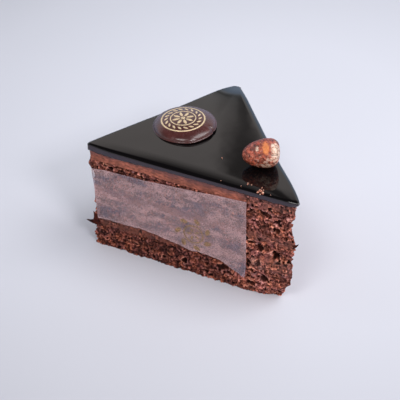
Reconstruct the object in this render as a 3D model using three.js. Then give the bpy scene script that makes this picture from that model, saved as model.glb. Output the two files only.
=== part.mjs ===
// A slice of layered chocolate cake: three sponges, three creams and a mirror glaze, cut as a
// seventh of a round, with a moulded chocolate button and a roasted hazelnut on top and a strip
// of clear paper on its front cut. Millimetres, +Z up, origin under the middle of the slice,
// the tip towards +X and the front cut towards -Y.
import * as THREE from 'three';

// Driving dimensions.
const APEX = 2 * Math.PI / 7;         // a seventh of a round cake
const CUT_SIDE = 102.4;               // each cut, from the outer side to the tip, before rounding
const HEIGHT = 56.5;                  // floor to the top of the glaze
const TIP_RADIUS = 0.8;               // rounding of the three upright corners
const BACK_RADIUS = 2.2;
const FRONT_RADIUS = 0.9;

// Layers from the bottom up: the height of each top at the middle of the slice, how far that top
// climbs from the outer side to the tip, how rough the cut is, and the rows that carry it.
const LAYERS = [
  { name: 'sponge_bottom', top: 13.2, climb: 3.4, rough: 1.25, rows: 7, colour: 0x4f2a22 },
  { name: 'cream_lower', top: 19.4, climb: 4.0, rough: 0.35, rows: 2, colour: 0x6b4033 },
  { name: 'sponge_middle', top: 30.3, climb: 2.4, rough: 1.25, rows: 6, colour: 0x502b24 },
  { name: 'cream_upper', top: 34.6, climb: 0.4, rough: 0.35, rows: 2, colour: 0x6b4033 },
  { name: 'sponge_top', top: 48.8, climb: 0, rough: 1.25, rows: 7, colour: 0x512c26 },
  { name: 'cream_top', top: 53.5, climb: 0, rough: 0.3, rows: 2, colour: 0x6e4031 },
];
const JOIN_ROUGH = 0.3;               // roughness where two layers meet
const JOIN_WAVE = 0.35;               // slow rise and fall of each join
const INWARD_SHIFT = 0.42;            // the rough cut lies mostly behind the plane of the knife
const LUMP_SHARE = 0.5;               // broad lumps against finer crumb
const LUMP_WIDTH = 6.5;
const LUMP_HEIGHT = 5;
const CRUMB_SIZE = 2.8;

// Glaze: how far it overhangs the cream, and how far each top edge rolls over and drops.
const GLAZE_COLOUR = 0x16100f;
const GLAZE_OVERHANG = 0.2;
const GLAZE_LIP = 0.35;               // height over which the overhang is reached
const EDGE_ROLL = { front: 1.1, back: 2.6, outer: 0.9 };
const EDGE_DROP = { front: 1.1, back: 1.3, outer: 0.8 };
const CORNER_SAG = 0.9;               // the glaze sinks towards the back corner
const CORNER_SAG_REACH = 12;
const SIDE_BLEND = 5;                 // over which one edge's roll turns into the next
const FLAT_SCALE = 0.72;              // the flat middle of the glaze, as a share of the outline

// The tip has crumbled: how far it draws back along X at each height.
const TIP_WEAR = [
  [0, 7], [3, 5.4], [6.5, 3.6], [10, 1.8], [14.5, 1], [19, 1.4], [24, 1.7], [28.5, 1], [31, 0.1],
  [34, 0.6], [37, 2], [40, 3.6], [43, 4.2], [46.5, 2], [53.5, 2], [54.2, 0], [HEIGHT, 0],
];
const TIP_WEAR_REACH = 7;
const FOOT_WEAR_REACH = 12;
const FOOT_HEIGHT = 6;                // the foot of the front cut is pushed out beside the tip
const FOOT_BULGE = 1.0;
const FOOT_AT = 88;
const FOOT_SPREAD = 9;

// Large holes in the front cut: distance from the front corner, height, half sizes and depth.
const HOLES = [
  { s: 82.8, z: 44, ds: 2.8, dz: 1.8, depth: 1.5 },
  { s: 83.8, z: 26.9, ds: 2.6, dz: 1.9, depth: 1.6 },
  { s: 92.7, z: 24.5, ds: 2.2, dz: 2.4, depth: 2.4 },
  { s: 80.5, z: 15.5, ds: 2.4, dz: 2.4, depth: 1.7 },
  { s: 87.4, z: 10.2, ds: 2.2, dz: 1.9, depth: 1.7 },
  { s: 69.5, z: 7.5, ds: 2, dz: 2.4, depth: 1.4 },
];

// Chocolate button.
const BUTTON_RADIUS = 14.8;
const BUTTON_HEIGHT = 4.1;
const BUTTON_FLANGE = 0.7;            // thickness of the thin rim left by its mould
const BUTTON_PLACE = [-77.1, -1.1];   // from the unrounded tip to its middle
const BUTTON_FOOT_INSET = 0.8;        // the foot is narrower than the rim
const BUTTON_SIDES = 36;
const BUTTON_STEPS = 7;

// Hazelnut, lying on its side.
const NUT_LENGTH = 16.4;
const NUT_HEIGHT = 13.2;
const NUT_PLACE = [-31.5, 5.8];       // from the unrounded tip to its middle
const NUT_TURN = 51 * Math.PI / 180;  // from +X to the flat scar at its blunt end
const NUT_RINGS = 16;
const NUT_SIDES = 28;
const NUT_RELIEF = 0.3;
const REST_GAP = 0.1;                 // clearance under the button and the nut

// Paper strip: [distance from the front corner, height] along its two long edges.
const PAPER_TOP = [[0.7, 44.3], [8, 45.5], [27, 46], [45, 47.4], [62, 49.1], [78, 50.5]];
const PAPER_BOTTOM = [
  [2.7, 16.1], [13, 16.9], [27, 17.5], [37.5, 16.4], [45, 15.1], [51, 14.2], [63, 14.3],
  [66, 13.9], [69, 12.4], [71.5, 12.1], [74.7, 10.8], [79.2, 9.2],
];
const PAPER_THICKNESS = 0.3;
const PAPER_CLEARANCE = 0.95;         // from the plane of the cut to the middle of the paper
const PAPER_WAVE = 0.2;
const PAPER_CURL = 1.6;               // the torn lower corner stands off the cake
const PAPER_CORNER = { s: 78, z: 8, ds: 8, dz: 6 };
const PAPER_REACH = 1.1;              // how far it widens the box
const PAPER_COLUMNS = 22;
const PAPER_ROWS = 6;

// Values worked out from those.
const HALF = APEX / 2;
const AXIS_LENGTH = CUT_SIDE * Math.cos(HALF);
const HALF_WIDTH = CUT_SIDE * Math.sin(HALF);
const cornerLoss = (radius, angle) => radius * (1 / Math.sin(angle / 2) - 1);
const TIP_X = (AXIS_LENGTH - cornerLoss(TIP_RADIUS, APEX)) / 2;      // the rounded tip
const OUTER_X = -TIP_X;
const VERTEX_X = OUTER_X + AXIS_LENGTH;                               // the tip before rounding
const SIDE_ANGLE = Math.PI / 2 - HALF;
const sideLoss = (radius) => radius * (1 / Math.tan(SIDE_ANGLE / 2) - 1);
// The middle line of the slice, placed so that the box is centred in Y.
const MID_Y = (sideLoss(BACK_RADIUS) - sideLoss(FRONT_RADIUS) + PAPER_REACH) / 2;
const INRADIUS = AXIS_LENGTH * HALF_WIDTH / (CUT_SIDE + HALF_WIDTH);
const CENTRE = new THREE.Vector2(OUTER_X + INRADIUS, MID_Y);
const FRONT_CORNER = new THREE.Vector2(OUTER_X, MID_Y - HALF_WIDTH);
const FRONT_ALONG = new THREE.Vector2(Math.cos(HALF), Math.sin(HALF));
const FRONT_OUT = new THREE.Vector2(Math.sin(HALF), -Math.cos(HALF));

// Noise: a smooth field between -1 and 1 that is the same at every run.
function hash(i, j, k) {
  const wave = Math.sin(i * 127.1 + j * 311.7 + k * 74.7) * 43758.5453;
  return 2 * (wave - Math.floor(wave)) - 1;
}

function noise(x, y, z) {
  const cell = [x, y, z].map(Math.floor);
  const [u, v, w] = [x, y, z].map((value, axis) => {
    const t = value - cell[axis];
    return t * t * (3 - 2 * t);
  });
  const corner = (a, b, c) => hash(cell[0] + a, cell[1] + b, cell[2] + c);
  const { lerp } = THREE.MathUtils;
  const row = (b, c) => lerp(corner(0, b, c), corner(1, b, c), u);
  const sheet = (c) => lerp(row(0, c), row(1, c), v);
  return lerp(sheet(0), sheet(1), w);
}

// Straight-line interpolation through a list of [at, value] pairs.
function along(pairs, at) {
  const last = pairs.length - 1;
  if (at <= pairs[0][0]) return pairs[0][1];
  if (at >= pairs[last][0]) return pairs[last][1];
  const next = pairs.findIndex((pair) => pair[0] > at);
  const [a, va] = pairs[next - 1];
  const [b, vb] = pairs[next];
  return va + (vb - va) * (at - a) / (b - a);
}

const bell = (value) => Math.exp(-value * value);

// The outline seen from above, anticlockwise from the tip: three straight sides joined by arcs.
// Each sample knows its place, its outward direction and the side that it belongs to.
function makeOutline() {
  const vertices = [
    { at: new THREE.Vector2(VERTEX_X, MID_Y), radius: TIP_RADIUS, steps: 5 },
    { at: new THREE.Vector2(OUTER_X, MID_Y + HALF_WIDTH), radius: BACK_RADIUS, steps: 4 },
    { at: new THREE.Vector2(OUTER_X, MID_Y - HALF_WIDTH), radius: FRONT_RADIUS, steps: 3 },
  ];
  const sides = ['back', 'outer', 'front'];
  const steps = [36, 31, 38];
  const samples = [];
  vertices.forEach((vertex, index) => {
    const before = vertices[(index + 2) % 3].at;
    const after = vertices[(index + 1) % 3].at;
    const toBefore = before.clone().sub(vertex.at).normalize();
    const toAfter = after.clone().sub(vertex.at).normalize();
    const half = Math.acos(toBefore.dot(toAfter)) / 2;
    const inward = toBefore.clone().add(toAfter).normalize();
    const middle = vertex.at.clone().addScaledVector(inward, vertex.radius / Math.sin(half));
    const turn = Math.PI - 2 * half;
    const first = Math.atan2(-inward.y, -inward.x) - turn / 2;
    for (let step = 0; step <= vertex.steps; step += 1) {
      const angle = first + turn * step / vertex.steps;
      const out = new THREE.Vector2(Math.cos(angle), Math.sin(angle));
      samples.push({ at: middle.clone().addScaledVector(out, vertex.radius), out });
    }
    const start = samples[samples.length - 1].at;
    const far = vertices[(index + 1) % 3];
    const farHalf = index === 2 ? HALF : SIDE_ANGLE / 2;
    const end = far.at.clone().addScaledVector(toAfter, -far.radius / Math.tan(farHalf));
    const out = new THREE.Vector2(toAfter.y, -toAfter.x);
    for (let step = 1; step < steps[index]; step += 1) {
      samples.push({ at: start.clone().lerp(end, step / steps[index]), out });
    }
    samples.forEach((sample) => { sample.side = sample.side ?? sides[index]; });
  });
  return samples;
}

const OUTLINE = makeOutline();

// How far the cut surface stands from the plain outline at a sample and height, in millimetres.
function reliefAt(sample, z, rough) {
  const { x, y } = sample.at;
  const lumps = LUMP_SHARE * noise(x / LUMP_WIDTH, y / LUMP_WIDTH, z / LUMP_HEIGHT);
  const crumb = (1 - LUMP_SHARE) * noise(x / CRUMB_SIZE, y / CRUMB_SIZE, z / CRUMB_SIZE + 40);
  let relief = rough * (lumps + crumb - INWARD_SHIFT);
  if (sample.side !== 'front') return relief;
  const s = sample.at.clone().sub(FRONT_CORNER).dot(FRONT_ALONG);
  for (const hole of HOLES) {
    relief -= hole.depth * bell((s - hole.s) / hole.ds) * bell((z - hole.z) / hole.dz);
  }
  if (z < FOOT_HEIGHT) {
    const low = 1 - z / FOOT_HEIGHT;
    relief += FOOT_BULGE * bell((s - FOOT_AT) / FOOT_SPREAD) * low * (1 - low) * 4;
  }
  return relief;
}

// A point on the cut surface: the outline, its relief, and the wear of the tip.
function cutPoint(sample, z, rough) {
  const point = sample.at.clone().addScaledVector(sample.out, reliefAt(sample, z, rough));
  const foot = 1 - Math.min(z / FOOT_HEIGHT, 1);
  const reach = THREE.MathUtils.lerp(TIP_WEAR_REACH, FOOT_WEAR_REACH, foot);
  point.x -= along(TIP_WEAR, z) * bell((VERTEX_X - sample.at.x) / reach);
  return new THREE.Vector3(point.x, point.y, z);
}

// The top of a layer under a point of the outline. The floor is flat.
function joinHeight(layer, at) {
  if (!layer) return 0;
  const wave = JOIN_WAVE * noise(at.x / 19, at.y / 19, layer.top);
  return layer.top + layer.climb * at.x / AXIS_LENGTH + wave;
}

function joinRing(layer) {
  return OUTLINE.map((sample) => cutPoint(sample, joinHeight(layer, sample.at), JOIN_ROUGH));
}

function joinCentre(layer) {
  return new THREE.Vector3(CENTRE.x, CENTRE.y, joinHeight(layer, CENTRE));
}

// A closed body from rings of equal length, bottom to top, with a point closing each end.
function loft(rings, bottom, top) {
  const sides = rings[0].length;
  const points = [...rings.flat(), bottom, top];
  const bottomIndex = points.length - 2;
  const topIndex = points.length - 1;
  const triangles = [];
  for (let side = 0; side < sides; side += 1) {
    const next = (side + 1) % sides;
    const last = (rings.length - 1) * sides;
    triangles.push(bottomIndex, next, side);
    triangles.push(topIndex, last + side, last + next);
    for (let ring = 0; ring < rings.length - 1; ring += 1) {
      const low = ring * sides;
      const high = low + sides;
      triangles.push(low + side, low + next, high + next);
      triangles.push(low + side, high + next, high + side);
    }
  }
  const geometry = new THREE.BufferGeometry().setFromPoints(points);
  geometry.setIndex(triangles);
  geometry.computeVertexNormals();
  return geometry;
}

function makeMesh(name, geometry, colour, roughness) {
  const material = new THREE.MeshStandardMaterial({ color: colour, roughness, metalness: 0 });
  const mesh = new THREE.Mesh(geometry, material);
  mesh.name = name;
  return mesh;
}

// One sponge or cream: its two joins with rows of rough cut between them.
function makeLayer(layer, below) {
  const rings = [joinRing(below)];
  for (let row = 1; row < layer.rows; row += 1) {
    const part = row / layer.rows;
    rings.push(OUTLINE.map((sample) => {
      const low = joinHeight(below, sample.at);
      const high = joinHeight(layer, sample.at);
      return cutPoint(sample, THREE.MathUtils.lerp(low, high, part), layer.rough);
    }));
  }
  rings.push(joinRing(layer));
  return makeMesh(layer.name, loft(rings, joinCentre(below), joinCentre(layer)), layer.colour, 0.95);
}

// A value of each side of the glaze, blended over a few millimetres round the corners.
function bySide(values, sample) {
  const { x, y } = sample.at;
  const outer = bell(Math.max(x - OUTER_X, 0) / SIDE_BLEND);
  const back = THREE.MathUtils.smoothstep(y - MID_Y, -1, 1);
  const cut = THREE.MathUtils.lerp(values.front, values.back, back);
  return THREE.MathUtils.lerp(cut, values.outer, outer);
}

// The glaze: a lip over the cream, an upright side, a rolled top edge and a flat top.
function makeGlaze(below) {
  const start = joinRing(below);
  const backCorner = new THREE.Vector2(OUTER_X, MID_Y + HALF_WIDTH);
  const sag = (sample) => CORNER_SAG * bell(sample.at.distanceTo(backCorner) / CORNER_SAG_REACH);
  const sideFoot = OUTLINE.map((sample, index) => {
    const point = sample.at.clone().addScaledVector(sample.out, GLAZE_OVERHANG);
    return new THREE.Vector3(point.x, point.y, start[index].z + GLAZE_LIP);
  });
  // inset: the share of the roll that the ring has covered; drop: what is left of the fall.
  const topRing = (inset, drop, sinkShare) => OUTLINE.map((sample, index) => {
    const scale = 1 - inset * bySide(EDGE_ROLL, sample) / INRADIUS;
    const fall = drop * bySide(EDGE_DROP, sample) + sinkShare * sag(sample);
    const x = CENTRE.x + (sideFoot[index].x - CENTRE.x) * scale;
    const y = CENTRE.y + (sideFoot[index].y - CENTRE.y) * scale;
    return new THREE.Vector3(x, y, HEIGHT - fall);
  });
  const rolled = [0, 30, 60, 90].map((degrees) => {
    const angle = THREE.MathUtils.degToRad(degrees);
    return topRing(1 - Math.cos(angle), 1 - Math.sin(angle), 1);
  });
  const flat = OUTLINE.map((sample) => {
    const at = sample.at.clone().lerp(CENTRE, 1 - FLAT_SCALE);
    return new THREE.Vector3(at.x, at.y, HEIGHT);
  });
  const rings = [start, sideFoot, ...rolled, flat];
  const top = new THREE.Vector3(CENTRE.x, CENTRE.y, HEIGHT);
  return makeMesh('glaze', loft(rings, joinCentre(below), top), GLAZE_COLOUR, 0.12);
}

// The button: a flat foot, a thin rim and a low dome.
function makeButton() {
  const profile = [new THREE.Vector2(0, 0)];
  profile.push(new THREE.Vector2(BUTTON_RADIUS - BUTTON_FOOT_INSET, 0));
  profile.push(new THREE.Vector2(BUTTON_RADIUS, BUTTON_FLANGE / 3));
  profile.push(new THREE.Vector2(BUTTON_RADIUS, BUTTON_FLANGE));
  const shoulder = BUTTON_RADIUS - BUTTON_FOOT_INSET / 2;
  for (let step = 0; step <= BUTTON_STEPS; step += 1) {
    const part = Math.cos(step / BUTTON_STEPS * Math.PI / 2);
    const lift = Math.pow(1 - Math.pow(part, 2.4), 1 / 2.1);
    const z = BUTTON_FLANGE + (BUTTON_HEIGHT - BUTTON_FLANGE) * lift;
    profile.push(new THREE.Vector2(step === BUTTON_STEPS ? 0 : shoulder * part, z));
  }
  const geometry = new THREE.LatheGeometry(profile, BUTTON_SIDES);
  geometry.rotateX(Math.PI / 2);
  const mesh = makeMesh('chocolate_button', geometry, 0x37201d, 0.35);
  const [x, y] = BUTTON_PLACE;
  mesh.position.set(VERTEX_X + x, MID_Y + y, HEIGHT + REST_GAP);
  return mesh;
}

// The nut: rings along its length, blunt at the scar and drawn to a point at the other end.
function makeNut() {
  const rings = [];
  const thickness = NUT_HEIGHT / 2;
  for (let ring = 1; ring < NUT_RINGS; ring += 1) {
    const t = -Math.cos(Math.PI * ring / NUT_RINGS);
    const girth = thickness * Math.pow(1 - t * t, t < 0 ? 0.62 : 0.46);
    rings.push(Array.from({ length: NUT_SIDES }, (_, side) => {
      const angle = 2 * Math.PI * side / NUT_SIDES;
      const c = Math.cos(angle);
      const s = Math.sin(angle);
      const wrinkle = NUT_RELIEF * noise(2.2 * t + 9, 2.4 * c, 2.4 * s);
      return new THREE.Vector3(t * NUT_LENGTH / 2, c * (girth + wrinkle), s * (girth + wrinkle));
    }));
  }
  const point = new THREE.Vector3(-NUT_LENGTH / 2, 0, 0);
  const scar = new THREE.Vector3(NUT_LENGTH / 2, 0, 0);
  const geometry = loft(rings, point, scar);
  geometry.computeBoundingBox();
  const mesh = makeMesh('hazelnut', geometry, 0x9a5a3c, 0.5);
  const [x, y] = NUT_PLACE;
  mesh.rotation.z = NUT_TURN;
  mesh.position.set(VERTEX_X + x, MID_Y + y, HEIGHT + REST_GAP - geometry.boundingBox.min.z);
  return mesh;
}

// The paper strip: two faces of a gently waved sheet joined round its rim.
function makePaper() {
  const place = (u, v, side) => {
    const s = THREE.MathUtils.lerp(PAPER_TOP[0][0], PAPER_TOP.at(-1)[0], u);
    const low = THREE.MathUtils.lerp(PAPER_BOTTOM[0][0], PAPER_BOTTOM.at(-1)[0], u);
    const across = THREE.MathUtils.lerp(low, s, v);
    const z = THREE.MathUtils.lerp(along(PAPER_BOTTOM, low), along(PAPER_TOP, s), v);
    const wave = PAPER_WAVE * noise(across / 13, z / 11, 3);
    const { s: cornerS, z: cornerZ, ds, dz } = PAPER_CORNER;
    const curl = PAPER_CURL * bell((across - cornerS) / ds) * bell((z - cornerZ) / dz);
    const out = PAPER_CLEARANCE + wave + curl + side * PAPER_THICKNESS / 2;
    const at = FRONT_CORNER.clone().addScaledVector(FRONT_ALONG, across);
    at.addScaledVector(FRONT_OUT, out);
    return new THREE.Vector3(at.x, at.y, z);
  };
  const columns = PAPER_COLUMNS + 1;
  const perSide = columns * (PAPER_ROWS + 1);
  const points = [];
  for (const side of [-1, 1]) {
    for (let row = 0; row <= PAPER_ROWS; row += 1) {
      for (let column = 0; column < columns; column += 1) {
        points.push(place(column / PAPER_COLUMNS, row / PAPER_ROWS, side));
      }
    }
  }
  const triangles = [];
  const quad = (a, b, c, d) => triangles.push(a, b, c, a, c, d);
  for (let row = 0; row < PAPER_ROWS; row += 1) {
    for (let column = 0; column < PAPER_COLUMNS; column += 1) {
      const a = row * columns + column;
      const [b, c, d] = [a + 1, a + columns + 1, a + columns];
      quad(a + perSide, b + perSide, c + perSide, d + perSide);
      triangles.push(a, c, b, a, d, c);
    }
  }
  const rim = [];
  for (let column = 0; column < PAPER_COLUMNS; column += 1) rim.push(column);
  for (let row = 0; row < PAPER_ROWS; row += 1) rim.push(row * columns + PAPER_COLUMNS);
  for (let column = PAPER_COLUMNS; column > 0; column -= 1) rim.push(PAPER_ROWS * columns + column);
  for (let row = PAPER_ROWS; row > 0; row -= 1) rim.push(row * columns);
  rim.forEach((a, index) => {
    const b = rim[(index + 1) % rim.length];
    quad(a, b, b + perSide, a + perSide);
  });
  const geometry = new THREE.BufferGeometry().setFromPoints(points);
  geometry.setIndex(triangles);
  geometry.computeVertexNormals();
  return makeMesh('paper_strip', geometry, 0xa88f92, 0.4);
}

const cake = new THREE.Group();
LAYERS.forEach((layer, index) => cake.add(makeLayer(layer, LAYERS[index - 1])));
cake.add(makeGlaze(LAYERS.at(-1)), makeButton(), makeNut(), makePaper());

export default cake;
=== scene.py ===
"""A slice of layered chocolate cake: open sponges, creams, mirror glaze, button, nut and paper.

Sizes inside the shape functions are millimetres in the frame's own axes, +X to the tip and -Y to
the front cut. A finished mesh is scaled to metres once, as it is made.
"""

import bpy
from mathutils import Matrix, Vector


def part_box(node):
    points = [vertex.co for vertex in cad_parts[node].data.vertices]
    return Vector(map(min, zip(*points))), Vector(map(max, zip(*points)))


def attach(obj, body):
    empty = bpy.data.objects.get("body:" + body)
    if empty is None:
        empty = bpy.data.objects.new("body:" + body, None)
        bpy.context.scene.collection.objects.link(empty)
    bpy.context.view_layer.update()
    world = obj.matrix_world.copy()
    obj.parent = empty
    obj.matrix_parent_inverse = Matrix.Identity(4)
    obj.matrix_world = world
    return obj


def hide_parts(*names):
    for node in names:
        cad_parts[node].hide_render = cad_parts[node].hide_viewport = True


bl_info = {
    "name": "Chocolate Cake Slice",
    "version": (1, 0, 0),
    "blender": (4, 5, 0),
    "location": "3D View > Sidebar > Cake Slice",
    "description": "Makes the layers, glaze and toppings of a slice of chocolate cake",
    "category": "Add Mesh",
}

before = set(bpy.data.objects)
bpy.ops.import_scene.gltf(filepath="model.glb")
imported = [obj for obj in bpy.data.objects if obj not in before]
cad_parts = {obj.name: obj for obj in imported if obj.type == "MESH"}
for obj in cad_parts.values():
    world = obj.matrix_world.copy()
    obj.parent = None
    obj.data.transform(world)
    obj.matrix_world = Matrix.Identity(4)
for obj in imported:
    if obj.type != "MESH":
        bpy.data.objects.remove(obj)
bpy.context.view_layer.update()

import math
from types import SimpleNamespace

import bpy
import numpy as np
from bpy.props import FloatProperty, FloatVectorProperty, IntProperty, PointerProperty
from mathutils import Matrix, Vector

MM = 0.001
BODY = "root"

# ------------------------------------------------------------------ the slice, in millimetres
HALF = math.pi / 7
CUT_SIDE = 102.4
TIP_RADIUS, BACK_RADIUS, FRONT_RADIUS = 0.8, 2.2, 0.9
PAPER_REACH = 1.1
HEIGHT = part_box("glaze")[1].z / MM

AXIS_LENGTH, HALF_WIDTH = CUT_SIDE * math.cos(HALF), CUT_SIDE * math.sin(HALF)
SIDE_HALF = (math.pi / 2 - HALF) / 2
OUTER_X = -(AXIS_LENGTH - TIP_RADIUS * (1 / math.sin(HALF) - 1)) / 2
VERTEX_X = OUTER_X + AXIS_LENGTH
MID_Y = ((BACK_RADIUS - FRONT_RADIUS) * (1 / math.tan(SIDE_HALF) - 1) + PAPER_REACH) / 2
INRADIUS = AXIS_LENGTH * HALF_WIDTH / (CUT_SIDE + HALF_WIDTH)
CENTRE = np.array((OUTER_X + INRADIUS, MID_Y))
FRONT_CORNER = np.array((OUTER_X, MID_Y - HALF_WIDTH))
BACK_CORNER = np.array((OUTER_X, MID_Y + HALF_WIDTH))
TIP_VERTEX = np.array((VERTEX_X, MID_Y))
FRONT_ALONG = np.array((math.cos(HALF), math.sin(HALF)))
FRONT_OUT = np.array((math.sin(HALF), -math.cos(HALF)))
# Upright corners, anticlockwise: place, radius and half of the angle between the sides.
CORNERS = ((TIP_VERTEX, TIP_RADIUS, HALF), (BACK_CORNER, BACK_RADIUS, SIDE_HALF),
           (FRONT_CORNER, FRONT_RADIUS, SIDE_HALF))

# Top of each layer at the middle of the slice, and how far it climbs towards the tip.
JOINS = {
    "floor": (0.0, 0.0), "sponge_bottom": (13.2, 3.4), "cream_lower": (19.4, 4.0),
    "sponge_middle": (30.3, 2.4), "cream_upper": (34.6, 0.4), "sponge_top": (48.8, 0.0),
    "cream_top": (53.5, 0.0),
}
LAYERS = list(JOINS)
BELOW = dict(zip(LAYERS[1:], LAYERS))
SPONGES = ("sponge_bottom", "sponge_middle", "sponge_top")
JOIN_WAVE, JOIN_WAVE_SIZE = 0.35, 19
SPONGE_ROUGH, CREAM_ROUGH, JOIN_ROUGH = 1.25, 0.35, 0.3
INWARD_SHIFT = 0.42
LUMP_WIDTH, LUMP_HEIGHT, CRUMB_SIZE = 6.5, 5.0, 2.8

# How far the tip is worn back at each height, and the features of the cut's foot and corner.
TIP_WEAR = (
    (0, 7), (3, 5.4), (6.5, 3.6), (10, 1.8), (14.5, 1), (19, 1.4), (24, 1.7), (28.5, 1),
    (31, 0.1), (34, 0.6), (37, 2), (40, 3.6), (43, 4.2), (46.5, 2), (53.5, 2), (54.2, 0),
)
TIP_WEAR_REACH, FOOT_WEAR_REACH = 7.0, 12.0
FOOT_HEIGHT, FOOT_BULGE, FOOT_AT, FOOT_SPREAD = 6.0, 1.0, 88.0, 9.0
CORNER_BULGE, CORNER_BULGE_AT = 1.4, 46.4
CORNER_RECESS, CORNER_RECESS_AT, CORNER_RECESS_SPREAD = 1.2, 28.0, 10.0
CORNER_LEAN, CORNER_LEAN_REACH = 1.0, 9.0

# Places on the front cut are a distance s from the front corner and a height.
# Broad holes, as in the solids: place, half sizes, depth.
HOLES = (
    (82.8, 44.0, 2.8, 1.8, 1.5), (83.8, 26.9, 2.6, 1.9, 1.6), (92.7, 24.5, 2.2, 2.4, 2.4),
    (79.6, 15.5, 2.4, 2.4, 1.7), (87.4, 10.2, 2.2, 1.9, 1.7), (69.5, 7.5, 2.0, 2.4, 1.4),
)
# Hollows sunk in them and beside them: place, half sizes, depth, darkness (painted shade).
CAVES = (
    (85.8, 45.7, 3.8, 1.7, 1.5, 0.75), (80.6, 28.2, 2.4, 1.1, 1.6, 0.9),
    (84.6, 26.0, 1.9, 1.9, 1.9, 0.9), (88.7, 21.3, 2.9, 2.7, 1.4, 0.1),
    (92.0, 23.9, 1.9, 2.7, 2.6, 1.0), (79.2, 15.6, 1.2, 2.9, 1.9, 1.0),
    (81.6, 11.6, 1.9, 1.6, 1.9, 1.0), (84.6, 18.0, 0.9, 1.9, 1.2, 0.8),
    (87.5, 9.0, 2.0, 1.7, 1.6, 0.9), (81.0, 4.9, 2.6, 1.1, 1.3, 0.9),
    (67.0, 8.6, 3.4, 1.9, 1.5, 0.8), (92.4, 38.2, 1.2, 1.5, 1.5, 0.9),
    (93.3, 41.6, 1.2, 1.2, 1.4, 0.9),
)
# Lumps: place, half sizes, rise.
NUBS = ((82.2, 18.6, 1.5, 1.9, 1.5), (85.7, 15.6, 1.0, 0.9, 1.0), (97.2, 46.4, 1.4, 1.3, 0.8))
# Bubbles: lattice cell, smallest radius, largest radius, share of cells that hold one.
SPONGE_LEVELS = ((3.4, 0.7, 1.5, 0.3), (1.8, 0.42, 0.9, 0.7), (1.0, 0.25, 0.5, 0.85))
CREAM_LEVELS = ((2.2, 0.15, 0.42, 0.2), (1.0, 0.12, 0.28, 0.35))
BUBBLE_BENDS = ((0.75, 1.7), (0.3, 0.6))
CLUMP_HEIGHT, SPONGE_GRAIN, CREAM_GRAIN, CREAM_COARSER = 0.75, 0.24, 0.08, 1.1
TORN_CREAM = {"cream_lower": 0.95, "cream_upper": 0.65, "cream_top": 0.75}
# Where the crumb is palest, low near the tip; how far a cream turns darker mauve towards its top,
# partly stain from the glaze and partly painted shade under the glaze's overhang; and how much
# painted shade darkens the foot of the slice away from the tip.
PALE_TIP_FOOT_AT, PALE_TIP_FOOT_SPREAD = (88.0, 6.0), (11, 7)
STAIN_AND_SHADE = {"cream_top": 0.7}
FOOT_PAINTED_SHADE = {"sponge_bottom": 0.75, "cream_lower": 0.75}

# The glaze's rolled edge: how far in it starts and how far it drops. Pairs are (s, value).
GLAZE_LIP, GLAZE_OVERHANG = 0.35, 0.2
EDGE_ROLL, EDGE_DROP = {"back": 2.6, "outer": 0.9}, {"back": 1.3, "outer": 0.8}
FRONT_ROLL = ((0, 1.4), (15, 1.8), (40, 2.2), (70, 1.8), (95, 1.2), (102, 1.2))
FRONT_DROP = ((0, 1.3), (15, 1.15), (38, 0.9), (58, 0.5), (80, 0.55), (95, 0.95), (102, 1.0))
FRONT_EASE = ((0, 0), (12, 0.15), (38, 0.4), (58, 0.38), (80, 0.3), (98, 0.15))
EASE_REACH, SIDE_BLEND = 7.0, 5.0
CORNER_SAG, CORNER_SAG_REACH = 1.7, 8.0
TIP_LIFT, TIP_LIFT_REACH, TIP_TIGHT = 0.45, 22.0, 0.45
TIP_OVERHANG, TIP_OVERHANG_AT, TIP_OVERHANG_REACH = 0.5, 14.0, 16.0
TIP_TRIM, TIP_TRIM_REACH, TIP_TAPER, TIP_TAPER_REACH = 0.45, 3.0, 1.6, 3.6
# How far the glaze hangs over the cream along the front cut, and how far it stands out past the
# outer side, by distance from the front corner.
GLAZE_SKIRT = ((0, 1.5), (9, 1.3), (20, 0.8), (38, 0.1), (58, 0), (68, -0.45), (102, -0.45))
OUTER_STAND = ((0, 1.8), (14, 1.6), (26, 1.1), (50, 0))
GLAZE_STEP, SKIRT_ROWS, ROLL_ROWS, TOP_ROWS = 0.4, 7, 13, 60

BUTTON_LOW, BUTTON_HIGH = (np.array(corner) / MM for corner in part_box("chocolate_button"))
BUTTON_MIDDLE = (BUTTON_LOW + BUTTON_HIGH)[:2] / 2
BUTTON_FLANGE, BUTTON_SHOULDER = 0.7, 0.4
BUTTON_LIFT, BUTTON_TILT, BUTTON_TILT_ANGLE = 0.1, 0.036, math.radians(51)
NOTCH_ANGLE, BUTTON_SIDES, BUTTON_STEPS = math.radians(26), 180, 46
# Rings as (inner, outer), leaves as (count, distance, length, width, tilt), in shares of radius.
PRINT_RADIUS, PRINT_SHIFT, PRINT_FILM = 10.3, (-0.9, -0.35), 0.06
BUTTON_RINGS = ((0.93, 1.0), (0.54, 0.59), (0.02, 0.1))
BUTTON_LEAVES = ((18, 0.765, 0.25, 0.09, 0.9), (8, 0.32, 0.36, 0.13, 0.0))
MARK_AT, MARK_RADIUS, MARK_FILM, MARK_LIFT = (53, 24), 9.4, 0.03, 0.05
MARK_RINGS = ((0.46, 0.54),)
MARK_LEAVES = ((7, 0.82, 0.42, 0.24, 0.85), (5, 0.24, 0.3, 0.12, 0.0))

NUT_PLACE = np.array((VERTEX_X - 32.2, MID_Y + 5.7))
NUT_TILT, NUT_TURN, NUT_FACE = 0.075, math.radians(51), math.radians(307)
NUT_RINGS, NUT_SIDES = 170, 260

PAPER_TOP = ((1.4, 44.4), (8, 45.5), (27, 46), (45, 47.4), (62, 49.1), (78, 50.5))
PAPER_BOTTOM = (
    (3.2, 16.1), (13, 16.9), (27, 17.5), (37.5, 16.4), (45, 15.1), (51, 14.2), (63, 14.3),
    (66, 13.9), (69, 12.4), (71.5, 12.1), (74.7, 10.8), (79.2, 9.2),
)
PAPER_CLEARANCE, PAPER_CURL, PAPER_COLUMNS, PAPER_ROWS = 0.8, 1.6, 340, 130

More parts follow.
